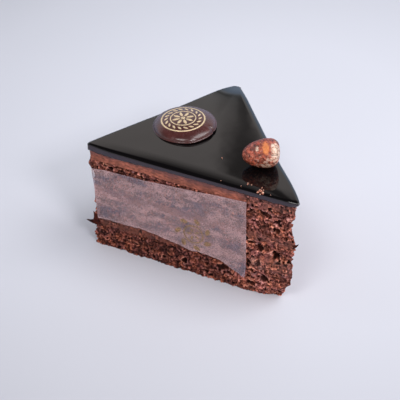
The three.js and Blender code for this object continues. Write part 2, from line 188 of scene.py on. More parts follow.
# Loose crumbs: spacing of their places, seed, and share of them on each sponge, lowest first.
CRUMB_STEP, CRUMB_SEED, CRUMB_SHARES = 0.5, 7, (0.4, 0.28, 0.32)
# Crumbs on the glaze, as place and size, and splinters as (s, out, z) of both ends, width, bend.
GLAZE_CRUMBS = np.array((
    (29.2, -6.1, 0.75), (28.7, -7.4, 0.5), (28.5, -6.4, 0.45), (27.7, -4.2, 0.32),
    (29.4, -4.8, 0.45), (30.5, -6.2, 0.5), (30.0, -7.2, 0.3), (28.0, -5.6, 0.25),
    (22.0, -7.3, 0.45), (21.4, -6.6, 0.4), (23.3, -6.2, 0.32), (20.8, -10.0, 0.32),
    (-0.2, -3.1, 0.3), (0.4, -3.5, 0.2), (33.5, -4.5, 0.22), (12.4, -14.2, 0.22),
))
SPLINTERS = (
    ((1.8, 0.0, 12.2), (0.8, 0.6, 19.5), 3.8, 0.5),
    ((1.8, 0.2, 13.0), (-3.4, 0.6, 13.1), 3.2, -0.3),
    ((2.8, 0.1, 12.2), (3.1, 0.8, 16.4), 2.6, 0.2),
    ((100.4, 0.2, 33.2), (102.9, 0.6, 36.0), 1.6, 0.2),
)
SPLINTER_RINGS, SPLINTER_SIDES = 16, 14

# Looks: how painted shade darkens the foot of the slice (the splinters are darkened the same way),
# the stretch of streaks in cream, and display colours.
DIMMING = ((0.0, 1.0), (1.0, (0.5, 0.42, 0.38)))
STREAK_STRETCH, FLECK_STRETCH = (0.6, 0.6, 1.3), (1.0, 0.6, 0.8)
STAIN_AND_SHADE_TONE, FLECK, DEEP_AMBER, AMBER = (92, 62, 66), (238, 166, 134), (178, 78, 38), (230, 134, 66)
PALEST_FLESH, FAINT_GOLD = (252, 233, 216), (190, 150, 104)

# The stage, in metres, watts and degrees: lights as name, place, size, power and colour.
LIGHTS = (
    ("window", (0.82, -0.13, 0.72), (0.28, 0.2), 4.2, (1.0, 0.96, 1.0)),
    ("side_box", (0.5, 0.6, 1.3), (0.9, 0.9), 12.5, (0.98, 0.98, 1.0)),
    ("top_box", (0.32, -0.95, 1.6), (0.6, 0.6), 9.0, (1.0, 0.98, 0.97)),
)
LIGHT_AIM = (0, 0, 0.03)
CAMERA_PLACE = (VERTEX_X - 0.5 + 253.885, MID_Y - 260.359, 334.815)
CAMERA_PITCH, CAMERA_AZIMUTH, CAMERA_ROLL, CAMERA_LENS = 37.40, 50.90, 0.45, 98.25
HORIZON, BACKDROP, DARK_ROOM = (0.68, 0.86, 1.14), (0.98, 0.9, 0.87), (0.03, 0.03, 0.035)
PAINTED_POOL_MIDDLE, FLOOR_HALF = (-0.08, 0.1, 0.0), 4000.0
# A painted pool of light on the floor, its brightness by distance from the pool's middle; and the
# brightness of the backdrop by height.
PAINTED_FLOOR_LIGHT_POOL = ((0.08, 1.0), (0.12, 0.96), (0.18, 0.89), (0.21, 0.83), (0.25, 0.73), (0.4, 0.67))
BACKDROP_RISE = ((0.5, 1.75), (0.56, 1.0), (0.61, 0.75), (0.645, 0.5), (0.68, 0.22), (0.73, 0.08))
# The dark upright gap in the backdrop, by slope to its side: low down and high up.
SEAM = ((0.014, 1.0), (0.031, 0.7), (0.0405, 0.33), (0.0475, 0.26), (0.052, 0.45), (0.06, 0.95))
GAP = ((0.018, 1.0), (0.028, 0.5), (0.033, 0.2), (0.058, 0.2), (0.07, 1.0))


# ------------------------------------------------------------------ what a user would change
def srgb(*levels):
    """A display colour from 0 to 255 as the linear colour that a shader takes."""
    share = np.array(levels) / 255
    return tuple(np.where(share <= 0.04045, share / 12.92,
                          ((share + 0.055) / 1.055) ** 2.4).tolist())


def metres(name, description, default, **limits):
    """A size in metres."""
    return FloatProperty(name=name, description=description, default=default, unit="LENGTH",
                         **limits)


def tint(name, description, *levels):
    """A colour, from its display levels."""
    return FloatVectorProperty(name=name, description=description, default=srgb(*levels),
                               size=3, subtype="COLOR")


class CakeSizes(bpy.types.PropertyGroup):
    """Sizes that a user would change. Lengths are metres, as Blender keeps them."""

    mesh_step: metres("Crumb Step", "Spacing of the mesh on the cut sponge", 0.00021, min=0.0002)
    bubble_scale: FloatProperty(
        name="Bubble Scale", description="Size of the open bubbles, as a share of the usual",
        default=1.0, min=0.5, max=2.0, subtype="FACTOR")
    button_radius: metres("Button Radius", "Radius of the chocolate button at its rim", 0.0149)
    button_height: metres("Button Height", "Height of the button's dome over the glaze", 0.0041)
    nut_length: metres("Nut Length", "Length of the hazelnut from its point to its scar", 0.0164)
    nut_height: metres("Nut Height", "Thickness of the hazelnut", 0.0132)
    paper_thickness: metres("Paper Thickness", "Thickness of the clear paper", 0.00012)
    crumb_count: IntProperty(
        name="Loose Crumbs", description="How many loose crumbs cling to the sponges",
        default=900, min=0)


class CakeColours(bpy.types.PropertyGroup):
    """Colours that a user would change, linear as the shaders take them."""

    sponge_light: tint("Sponge Crumb", "Raised crumb of the sponge", 162, 97, 85)
    # The bubble colour is painted shade at the bottoms of the bubbles.
    sponge_bubble_shade: tint("Sponge Bubble", "Bottoms of the bubbles in the sponge", 64, 17, 9)
    cream: tint("Cream", "Chocolate cream between the sponges", 159, 92, 74)
    glaze: tint("Glaze", "Body colour of the mirror glaze", 10, 8, 9)
    # Lighter plum on the glaze's upright side: painted reflection of the pale floor.
    glaze_side_painted_reflection: tint(
        "Glaze Side", "Plum tint where the glaze runs thin down its side", 46, 36, 47)
    chocolate: tint("Button Chocolate", "Dark chocolate of the button", 76, 40, 38)
    gold: tint("Gold Print", "Pale gold of the printed rosette", 240, 213, 171)
    nut_skin: tint("Nut Skin", "Roasted skin of the hazelnut", 166, 76, 52)
    nut_flesh: tint("Nut Flesh", "Pale flesh where the skin has flaked off", 247, 205, 176)
    paper: tint("Paper", "Clear wrapping paper", 206, 186, 188)
    floor: tint("Floor", "Pale studio floor", 223, 225, 234)


def chosen(context):
    return context.scene.cake_sizes, context.scene.cake_colours


# ------------------------------------------------------------------ fields over whole arrays
def hashed(i, j, k):
    """A value from -1 to 1 for each lattice point: the fraction of a large sine wave."""
    wave = np.sin(i * 127.1 + j * 311.7 + k * 74.7) * 43758.5453
    return 2 * (wave - np.floor(wave)) - 1


def noise(x, y, z):
    """Smooth noise: hashed lattice values, blended by 3t^2 - 2t^3 along each axis."""
    x, y, z = np.broadcast_arrays(x, y, z)
    i, j, k = np.floor(x), np.floor(y), np.floor(z)
    u, v, w = (t * t * (3 - 2 * t) for t in (x - i, y - j, z - k))

    def row(b, c):
        low = hashed(i, j + b, k + c)
        return low + (hashed(i + 1, j + b, k + c) - low) * u

    def sheet(c):
        low = row(0, c)
        return low + (row(1, c) - low) * v

    low = sheet(0)
    return low + (sheet(1) - low) * w


def plan_noise(at, size, seed):
    """Noise over places seen from above."""
    return noise(at[..., 0] / size, at[..., 1] / size, seed)


def fractal(points, size, octaves, seed=0.0):
    """Noise summed over octaves, each half as large and half as strong as the one before."""
    total = 0.0
    for octave in range(octaves):
        x, y, z = np.moveaxis(points / (size / 2 ** octave) + seed + 17.3 * octave, -1, 0)
        total = total + noise(x, y, z) / 2 ** octave
    return total


def bell(value):
    return np.exp(-np.square(value))


def smoothstep(value, low, high):
    t = np.clip((value - low) / (high - low), 0, 1)
    return t * t * (3 - 2 * t)


def along(pairs, at):
    """Straight-line interpolation through (at, value) pairs."""
    return np.interp(at, *zip(*pairs))


def apart(at, place):
    """The distance of each point from a place."""
    return np.linalg.norm(at - place, axis=-1)


def unit(vectors):
    return vectors / np.linalg.norm(vectors, axis=-1, keepdims=True)


def turned(angle, start):
    """An angle counted from a start, between -pi and pi."""
    return (angle - start + math.pi) % (2 * math.pi) - math.pi


def bubbles(points, inward, cell, smallest, largest, chance, seed):
    """How deep a plane cut opens spherical bubbles, at each point.

    Each cube of side `cell` holds at most one sphere of centre C and radius R. From a point P
    inside it, the far wall along the inward direction m lies at t = -q.m + sqrt((q.m)^2 - q.q +
    R^2), with q = P - C, and the deepest sphere wins.
    """
    depth = np.zeros(points.shape[:-1])
    base = np.floor(points / cell)
    for offset in np.ndindex(3, 3, 3):
        i, j, k = (base[..., axis] + offset[axis] - 1 for axis in range(3))
        jitter = [hashed(i + seed, j + 31 * axis, k + 7 * axis) for axis in range(3)]
        pick = 0.5 + 0.5 * hashed(i + 5.5, j + seed, k + 3.3)
        q = points - (np.stack((i, j, k), -1) + 0.5 + 0.42 * np.stack(jitter, -1)) * cell
        share = np.clip(1 - pick / chance, 0, 1)
        radius = smallest + (largest - smallest) * share ** 1.6
        radius = np.where(pick < chance, radius, 0)
        flat = np.sum(q * inward, -1)
        room = radius ** 2 - np.sum(q * q, -1)
        inside = -flat + np.sqrt(np.maximum(flat ** 2 + room, 0))
        depth = np.maximum(depth, np.where(room > 0, inside, 0))
    return depth


# ------------------------------------------------------------------ outline and cut surface
def outline(step):
    """The slice seen from above, anticlockwise from the tip: three straight sides and three arcs.

    at: places; out: outward directions; front: whether on the front cut; s: distance from the
    front corner along it; corner: distance to the nearest upright corner; inward: directions into
    the cake, turned to its centre near a corner.
    """
    places, outs, front = [], [], []
    for (here, radius, half), (after, next_radius, next_half) in zip(CORNERS,
                                                                     CORNERS[1:] + CORNERS[:1]):
        ahead, inward = unit(after - here), unit(CENTRE - here)
        turn = math.pi - 2 * half
        first = math.atan2(-inward[1], -inward[0]) - turn / 2
        count = max(5, math.ceil(radius * turn / step) + 1)
        angle = first + turn * np.linspace(0, 1, count)
        arc = np.stack((np.cos(angle), np.sin(angle)), -1)
        middle = here + inward * radius / math.sin(half)
        start = middle + arc[-1] * radius
        end = after - ahead * next_radius / math.tan(next_half)
        steps = math.ceil(apart(end, start) / step)
        share = np.arange(1, steps)[:, None] / steps
        places += [middle + arc * radius, start + (end - start) * share]
        outs += [arc, np.tile((ahead[1], -ahead[0]), (steps - 1, 1))]
        front += [here is FRONT_CORNER] * (count + steps - 1)
    at, out = np.concatenate(places), np.concatenate(outs)
    corner = np.min([apart(at, place) for place, _, _ in CORNERS], axis=0)
    turn_in = bell(corner / 3.5)[:, None]
    inward = unit(unit(CENTRE - at) * turn_in - out * (1 - turn_in))
    return SimpleNamespace(at=at, out=out, front=np.array(front), corner=corner,
                           s=(at - FRONT_CORNER) @ FRONT_ALONG,
                           inward=np.pad(inward, ((0, 0), (0, 1))))


def join_height(name, at):
    """Top of a layer: its level, plus its climb along X, plus slow noise over the plan."""
    top, climb = JOINS[name]
    if name == "floor":
        return np.zeros(at.shape[:-1])
    return top + climb * at[..., 0] / AXIS_LENGTH + JOIN_WAVE * plan_noise(at, JOIN_WAVE_SIZE, top)


def join_edge(name, at):
    """A layer's top with the fine rise and fall where a cream smears into a sponge."""
    seed = LAYERS.index(name)
    fine = 0.2 * plan_noise(at, 1.7, seed) + 0.1 * plan_noise(at, 0.7, seed + 9)
    return join_height(name, at) + (fine if seed else 0)


def join_middle(name):
    return (*CENTRE, join_height(name, CENTRE))


def broad_relief(at, s, front, z, rough):
    """The lumps, holes and pushed-out foot that the CAD solids have too."""
    x, y = at[..., 0], at[..., 1]
    lumps = noise(x / LUMP_WIDTH, y / LUMP_WIDTH, z / LUMP_HEIGHT)
    crumb = noise(x / CRUMB_SIZE, y / CRUMB_SIZE, z / CRUMB_SIZE + 40)
    relief = rough * (0.5 * lumps + 0.5 * crumb - INWARD_SHIFT)
    for at_s, at_z, half_s, half_z, depth in HOLES:
        relief = relief - front * depth * bell((s - at_s) / half_s) * bell((z - at_z) / half_z)
    low = np.clip(1 - z / FOOT_HEIGHT, 0, 1)
    foot = FOOT_BULGE * bell((s - FOOT_AT) / FOOT_SPREAD) * 4 * low * (1 - low)
    corner = bell(apart(at, FRONT_CORNER) / 6)
    bulge = CORNER_BULGE * corner * bell((z - CORNER_BULGE_AT) / 2.6)
    recess = CORNER_RECESS * corner * bell((z - CORNER_RECESS_AT) / CORNER_RECESS_SPREAD)
    return relief + bulge - recess + front * foot


def cut_surface(edge, z, rough):
    """Points of a cut: the outline moved out by its relief, with the worn tip drawn back.

    Under the glaze the front corner leans out along -X.
    """
    relief = broad_relief(edge.at[:, None], edge.s[:, None], edge.front[:, None], z, rough)
    plan = edge.at[:, None, :] + edge.out[:, None, :] * relief[..., None]
    foot = 1 - np.clip(z / FOOT_HEIGHT, 0, 1)
    reach = TIP_WEAR_REACH + (FOOT_WEAR_REACH - TIP_WEAR_REACH) * foot
    wear = along(TIP_WEAR, z) * bell((VERTEX_X - edge.at[:, :1]) / reach)
    corner = apart(edge.at, FRONT_CORNER)[:, None]
    lean = CORNER_LEAN * bell(corner / CORNER_LEAN_REACH) * smoothstep(z, 49, 53.5)
    return np.stack((plan[..., 0] - wear - lean, plan[..., 1], z), -1)


# ------------------------------------------------------------------ meshes
def make_mesh(name, points, quads, triangles=(), **values):
    """A mesh object from millimetre points and index arrays, with one float attribute a value."""
    points = np.asarray(points, float).reshape(-1, 3) * MM
    quads = np.asarray(quads, np.int32).reshape(-1, 4)
    triangles = np.asarray(triangles, np.int32).reshape(-1, 3)
    mesh = bpy.data.meshes.new(name)
    mesh.vertices.add(len(points))
    mesh.vertices.foreach_set("co", points.ravel())
    mesh.loops.add(quads.size + triangles.size)
    mesh.loops.foreach_set("vertex_index", np.concatenate((quads.ravel(), triangles.ravel())))
    mesh.polygons.add(len(quads) + len(triangles))
    starts = np.concatenate((np.arange(len(quads)) * 4,
                             quads.size + np.arange(len(triangles)) * 3))
    mesh.polygons.foreach_set("loop_start", starts.astype(np.int32))
    mesh.update(calc_edges=True)
    mesh.validate()
    mesh.polygons.foreach_set("use_smooth", np.ones(len(mesh.polygons), bool))
    for key, value in values.items():
        value = np.broadcast_to(np.ravel(value), len(points)).astype(np.float32)
        mesh.attributes.new(key, "FLOAT", "POINT").data.foreach_set("value", value)
    piece = bpy.data.objects.new(name, mesh)
    bpy.context.scene.collection.objects.link(piece)
    return piece


def loft(name, rings, bottom, top, **values):
    """A closed body from rings, bottom to top, with a point closing each end.

    rings is an array of (ring, side, xyz). Each attribute gets its mean at the two end points.
    """
    count, sides, _ = rings.shape
    total, last = count * sides, (count - 1) * sides
    side, low = np.arange(sides), np.arange(0, last, sides)[:, None]
    after, high = np.roll(side, -1), low + sides
    quads = np.stack((low + side, low + after, high + after, high + side), -1)
    ends = np.repeat(((total,), (total + 1,)), sides, axis=1)
    triangles = np.stack((ends, (after, last + side), (side, last + after)), -1)
    points = np.concatenate((rings.reshape(-1, 3), [bottom], [top]))
    fields = {key: np.broadcast_to(value, (count, sides)) for key, value in values.items()}
    closed = {key: np.append(field, [field.mean()] * 2) for key, field in fields.items()}
    return make_mesh(name, points, quads, triangles, **closed)


def shell(under, over):
    """Points and quads of a thin closed sheet between two grids of points, walled at the rim."""
    rows, columns, _ = under.shape
    total = rows * columns
    index = np.arange(total).reshape(rows, columns)
    a, b, c, d = index[:-1, :-1], index[:-1, 1:], index[1:, 1:], index[1:, :-1]
    lower = np.stack((a, d, c, b), -1).reshape(-1, 4)
    upper = np.stack((a, b, c, d), -1).reshape(-1, 4) + total
    rim = np.concatenate((index[0, :-1], index[:-1, -1], index[-1, :0:-1], index[:0:-1, 0]))
    ahead = np.roll(rim, -1)
    wall = np.stack((rim, ahead, ahead + total, rim + total), -1)
    return np.concatenate((under, over)).reshape(-1, 3), np.concatenate((lower, upper, wall))


def finish_piece(piece, material, node=None):
    """Gives a piece its material and body, and hides the CAD node that it stands for."""
    piece.data.materials.append(material)
    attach(piece, BODY)
    if node:
        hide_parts(node)


# ------------------------------------------------------------------ shader nodes
class Nodes:
    """Short calls that add shader nodes to a tree."""

    def __init__(self, tree):
        self.tree = tree

    def put(self, socket, value):
        if isinstance(value, bpy.types.NodeSocket):
            self.tree.links.new(value, socket)
        else:
            socket.default_value = (*value, 1) if socket.type == "RGBA" else value

    def add(self, kind, inputs, output=0, **settings):
        node = self.tree.nodes.new(f"ShaderNode{kind}")
        for key, value in settings.items():
            setattr(node, key, value)
        for key, value in inputs.items():
            self.put(node.inputs[key], value)
        return node.outputs[output]

    def ramp(self, value, *stops, smooth=False):
        """Maps a value through (position, colour or grey) stops, lowest first."""
        tone = self.add("ValToRGB", {"Fac": value})
        ramp = tone.node.color_ramp
        ramp.interpolation = "EASE" if smooth else "LINEAR"
        ramp.elements[1].position = stops[-1][0]
        ramp.elements[0].position = stops[0][0]
        for position, _ in stops[1:-1]:
            ramp.elements.new(position)
        for element, (_, colour) in zip(ramp.elements, stops):
            element.color = (*np.broadcast_to(colour, 3).tolist(), 1)
        return tone

    def mix(self, factor, first, second, blend="MIX"):
        return self.add("Mix", {0: factor, 6: first, 7: second}, 2, data_type="RGBA",
                        blend_type=blend)

    def times(self, tone, *factors):
        """A tone multiplied by each factor."""
        for factor in factors:
            tone = self.mix(1.0, tone, factor, "MULTIPLY")
        return tone


class Shader(Nodes):
    """A new material. Noise is on Object coordinates, with its scale in features a metre."""

    def __init__(self, name):
        self.material = bpy.data.materials.new(name)
        self.material.use_nodes = True
        super().__init__(self.material.node_tree)

    def noise(self, scale, detail=3.0, roughness=0.55, stretch=None):
        vector = self.add("TexCoord", {}, "Object")
        if stretch:
            vector = self.add("Mapping", {"Vector": vector, "Scale": stretch})
        return self.add("TexNoise", {"Vector": vector, "Scale": scale, "Detail": detail,
                                     "Roughness": roughness}, "Fac")

    def by(self, name, *stops):
        """A piece's attribute, through stops where there are any."""
        value = self.add("Attribute", {}, "Fac", attribute_name=name)
        return self.ramp(value, *stops) if stops else value

    def finish(self, tone, bump=None, **inputs):
        """Sets the surface, its bump as (height, strength, distance); returns the material."""
        if bump:
            bump = dict(zip(("Height", "Strength", "Distance"), bump))
            inputs["Normal"] = self.add("Bump", bump)
        surface = self.tree.nodes["Principled BSDF"]
        for key, value in {"Base_Color": tone, **inputs}.items():
            self.put(surface.inputs[key.replace("_", " ")], value)
        return self.material


def shade(colour, factor):
    """A colour times a grey or coloured factor, at most white."""
    return tuple(min(level * share, 1) for level, share in zip(colour, np.broadcast_to(factor, 3)))


def crumb_tone(shader, colours):
    """Colour of open crumb: dark in its bubbles as painted shade, redder and lighter on the ridges
    between as painted highlight.
    """
    light = colours.sponge_light
    # ridge paints light and shade: the bubble-shade colour in hollows, painted highlight on the
    # ridges.
    tone = shader.by("ridge", (0.22, colours.sponge_bubble_shade), (0.5, shade(light, 0.42)),
                     (0.66, light), (0.86, shade(light, (1.5, 2.05, 2.2))))
    # depth darkens the bubbles and caves as painted shade, and dim darkens the foot of the slice as
    # painted shade.
    return shader.times(
        tone,
        shader.by("depth", (0.05, 1.0), (0.6, 0.26)),
        shader.ramp(shader.noise(130, 4), (0.34, 0.62), (0.68, 1.4)),
        shader.ramp(shader.noise(480, 2), (0.36, 0.4), (0.64, 1.75)),
        shader.ramp(shader.noise(1500, 2), (0.36, 0.65), (0.64, 1.4)),
        shader.by("pale_tip_foot", (0.0, 1.0), (1.0, 1.5)),
        shader.ramp(shader.noise(240), (0.36, (0.9, 0.94, 1.12)), (0.64, (1.1, 1.05, 0.84))),
        shader.by("dim", *DIMMING))


def sponge_material(name, colours):
    """Matt open crumb."""
    shader = Shader(name)
    return shader.finish(crumb_tone(shader, colours), (shader.noise(3000, 4, 0.7), 0.9, 0.0005),
                         Roughness=0.85, Specular_IOR_Level=0.12)


def flake_material(colours):
    """Pale flakes of nut and crumb that dropped on the wet glaze."""
    shader = Shader("pale_flakes")
    tone = shader.by("ridge", (0.7, colours.nut_skin), (1.0, shade(colours.nut_flesh, 0.85)))
    return shader.finish(tone, Roughness=0.3)


def cream_material(name, colours):
    """Satin cream with streaks and grain, turning to crumb where it is torn."""
    shader = Shader(name)
    cream = colours.cream
    tone = shader.ramp(shader.noise(150, 4), (0.32, shade(cream, 0.62)), (0.68, shade(cream, 1.3)))
    grain = shader.noise(900, stretch=STREAK_STRETCH)
    # depth darkens the bubbles as painted shade, and dim darkens the foot of the slice as painted
    # shade.
    tone = shader.times(tone, shader.ramp(grain, (0.35, 0.6), (0.65, 1.35)),
                        shader.by("depth", (0.05, 1.0), (0.35, 0.3)), shader.by("dim", *DIMMING))
    # A darker mauve near the top of the top cream: partly stain from the glaze, partly painted
    # shade under the glaze's overhang.
    tone = shader.mix(shader.by("stain_and_shade"), tone, srgb(*STAIN_AND_SHADE_TONE))
    tone = shader.mix(shader.by("crumb", (0.2, 0.0), (0.7, 0.85)), tone,
                      crumb_tone(shader, colours))
    streaks = shader.noise(1100, 4, stretch=STREAK_STRETCH)
    return shader.finish(tone, (streaks, 0.8, 0.0005), Roughness=0.66, Specular_IOR_Level=0.32)


def glaze_material(colours):
    """Mirror glaze: nearly black, with a painted reflection of the pale floor as a lighter plum on
    its upright side, dulled by slight smears.
    """
    shader = Shader("mirror_glaze")
    return shader.finish(shader.mix(shader.by("upright"), colours.glaze, colours.glaze_side_painted_reflection),
                         (shader.noise(70, 2), 0.02, 0.001), Specular_IOR_Level=0.5,
                         Roughness=shader.ramp(shader.noise(60), (0.35, 0.03), (0.7, 0.07)))


def chocolate_material(colours):
    """Tempered chocolate: semi-gloss, with a faint bloom and scuffs."""
    shader = Shader("moulded_chocolate")
    tone = shader.ramp(shader.noise(220, 4), (0.35, shade(colours.chocolate, 0.8)),
                       (0.75, shade(colours.chocolate, 1.35)))
    return shader.finish(tone, (shader.noise(700), 0.12, 0.0003), Specular_IOR_Level=0.7,
                         Roughness=shader.ramp(shader.noise(500), (0.3, 0.2), (0.7, 0.32)))


def gold_material(name, colour, strength):
    """Printed gold: a pale satin film, slightly broken by grain."""
    shader = Shader(name)
    tone = shader.ramp(shader.noise(1500), (0.3, shade(colour, 0.72)), (0.7, shade(colour, 1.1)))
    return shader.finish(tone, Metallic=0.35, Roughness=0.45, Alpha=strength)


def nut_material(colours):
    """Roasted skin over pale flesh.

    `bare_and_glint` is where the skin has flaked, with one painted glint; `flake` where it has
    cracked, `gloss` where it shines amber, `crease` the folds, darkened in them as painted shade,
    `under` the painted shade on the underside and `ruddy` the whole, redder skin.
    """
    shader = Shader("roasted_nut")
    skin, flesh = colours.nut_skin, colours.nut_flesh
    tone = shader.ramp(shader.noise(620, 5, 0.7), (0.39, shade(skin, 0.3)),
                       (0.48, shade(skin, 0.8)), (0.6, shade(skin, 1.75)))
    flecks = shader.ramp(shader.noise(1200, 3, 0.7, FLECK_STRETCH), (0.56, 0.0), (0.61, 1.0))
    tone = shader.mix(shader.times(flecks, shader.by("flake")), tone, srgb(*FLECK))
    amber = shader.by("gloss", (0.0, shade(skin, 0.6)), (0.45, srgb(*DEEP_AMBER)),
                      (1.0, srgb(*AMBER)))
    tone = shader.mix(shader.by("gloss", (0.0, 0.0), (0.3, 0.9)), tone, amber)
    pale = shader.ramp(shader.noise(1100, 4, 0.65), (0.36, shade(skin, 0.9)),
                       (0.45, shade(flesh, 0.7)), (0.54, flesh), (0.62, srgb(*PALEST_FLESH)))
    tone = shader.times(shader.mix(shader.by("bare_and_glint"), tone, pale),
                        shader.by("crease", (0.1, 1.0), (0.9, 0.4)),
                        shader.by("under", (0.0, 1.0), (1.0, 0.5)),
                        shader.by("ruddy", (0.0, 1.0), (1.0, (0.72, 0.46, 0.38))))
    return shader.finish(tone, (shader.noise(800, 4, 0.65), 0.9, 0.0009), Specular_IOR_Level=0.7,
                         Roughness=shader.by("gloss", (0.0, 0.24), (1.0, 0.2)))


def paper_material(colours):
    """Clear paper: hazy and half see-through, rosier where it clings, darker and bluer over the
    hollows behind it as painted shade.
    """
    shader = Shader("clear_paper")
    rosy = shade(colours.paper, (1.0, 0.84, 0.84))
    tone = shader.by("gap", (0.2, shade(rosy, 1.1)), (0.5, shade(rosy, 0.84)),
                     (0.85, shade(colours.paper, (0.5, 0.5, 0.6))))
    fibres, mottle = shader.noise(1500), shader.noise(170, 4)
    tone = shader.times(tone, shader.ramp(mottle, (0.3, 0.86), (0.7, 1.1)),
                        shader.ramp(fibres, (0.35, 0.68), (0.65, 1.28)))
    clear = shader.ramp(mottle, (0.3, 0.37), (0.7, 0.43))
    return shader.finish(tone, (fibres, 0.3, 0.0002), Roughness=0.4, Specular_IOR_Level=0.4,
                         Alpha=shader.mix(shader.by("rim"), clear, (0.52, 0.52, 0.52)))


# ------------------------------------------------------------------ layers
def blurred(field, reach):
    """A box mean over reach cells each way, wrapped round the outline, held at top and bottom."""
    width = 2 * reach + 1
    for axis, mode in ((0, "wrap"), (1, "edge")):
        pad = [(0, 0), (0, 0)]
        pad[axis] = (reach + 1, reach)
        total = np.cumsum(np.pad(field, pad, mode=mode), axis=axis)
        size = field.shape[axis]
        upper = np.take(total, np.arange(width, width + size), axis=axis)
        field = (upper - np.take(total, np.arange(size), axis=axis)) / width
    return field


def caves_and_nubs(surface):
    """The named hollows and lumps of the front cut: a mask, depth, painted shade and height for
    each.

    A cave is half an ellipsoid, depth * sqrt(1 - e), with e the squared distance from its middle
    in half sizes. Its mask smooths the crumb inside it. A nub, the entry without a darkness, is a
    bell of the same distance.
    """
    gap = surface[..., :2] - FRONT_CORNER
    s, z = gap @ FRONT_ALONG, surface[..., 2]
    front = smoothstep(gap @ FRONT_OUT, -4.5, -2.5)
    uneven = 0.3 * noise(s / 1.3, z / 1.3, 6.0)
    mask, bowl, dark, nub = (np.zeros(s.shape) for _ in range(4))
    for at_s, at_z, half_s, half_z, depth, *darkness in CAVES + NUBS:
        e = ((s - at_s) / half_s) ** 2 + ((z - at_z) / half_z) ** 2 + uneven
        if darkness:
            inside = smoothstep(1 - e, 0, 0.5) * front
            mask = np.maximum(mask, inside)
            bowl = np.maximum(bowl, depth * np.sqrt(np.clip(1 - e, 0, 1)) * front)
            dark = np.maximum(dark, darkness[0] * inside)
        else:
            nub = np.maximum(nub, depth * np.exp(-e * e) * front)
    return mask, bowl, dark, nub


def opened(surface, inward, levels, scale):
    """Depth of the bubbles of every level, the deepest at each point."""
    return np.maximum.reduce([
        bubbles(surface, inward, cell * scale, smallest * scale, largest * scale, chance, 11.0 * n)
        for n, (cell, smallest, largest, chance) in enumerate(levels)])


def clumps(points):
    """Rounded lumps with sharp creases between them: smooth noise without its sign, thrice."""
    x, y, z = np.moveaxis(points, -1, 0)
    broad = np.abs(noise(x / 3.2 + 8, y / 3.2, z / 2.5))
    coarse = np.abs(noise(x / 1.3 + 3, y / 1.3, z / 1.3 + 60))
    fine = np.abs(noise(x / 0.62, y / 0.62 + 20, z / 0.62))
    return 1.0 * broad + 0.6 * coarse + 0.5 * fine - 0.65


def crumb_texture(surface, inward, torn, scale):
    """Height over the broad relief, the depth of the bubbles alone, and the painted shade and light
    that set their tone.

    The bubbles are looked up at places shifted by smooth noise, which makes them ragged. torn is
    the share of sponge in the texture; the rest is cream.
    """
    shifted = surface
    for reach, size in BUBBLE_BENDS:
        bend = [noise(*np.moveaxis(surface / size + 9 * n, -1, 0)) for n in range(3)]
        shifted = shifted + reach * np.stack(bend, -1)
    depth = np.zeros(surface.shape[:-1])
    if np.max(torn) > 0:
        depth = opened(shifted, inward, SPONGE_LEVELS, scale) * torn
    if np.min(torn) < 1:
        depth = np.maximum(depth, opened(shifted, inward, CREAM_LEVELS, scale) * (1 - torn))
    mask, bowl, dark, nub = caves_and_nubs(surface)
    smooth = 1 - 0.8 * mask
    lumps = CLUMP_HEIGHT * clumps(surface) * torn * smooth
    grain = CREAM_GRAIN + (SPONGE_GRAIN - CREAM_GRAIN) * torn
    height = lumps + grain * fractal(surface, 0.62, 2, 4.0) + nub
    # seen is painted shade in the bubbles and caves, set darkens the caves' ridge tone as painted
    # shade, and lit lightens the nubs as painted light.
    looks = {"seen": np.clip(depth / 1.4, 0, 1) * (1 - mask) + 0.6 * dark,
             "mask": mask, "set": 0.72 - 0.45 * dark, "lit": 0.3 * np.clip(nub, 0, 1)}
    return height, np.maximum(depth * smooth, bowl), looks


def crumbly(name, at):
    """Share of a cream that is torn and covered with crumb: all of it near the tip."""
    if name not in TORN_CREAM:
        return np.ones(at.shape[:-1])
    gap = apart(at, TIP_VERTEX)
    torn = smoothstep(-gap, -31, -20) * TORN_CREAM[name]
    if name == "cream_lower":
        torn = np.maximum(torn, 0.6 * smoothstep(gap, 30, 50))
    return np.clip(torn + 0.35 * plan_noise(at, 4, 3.0), 0, 1)


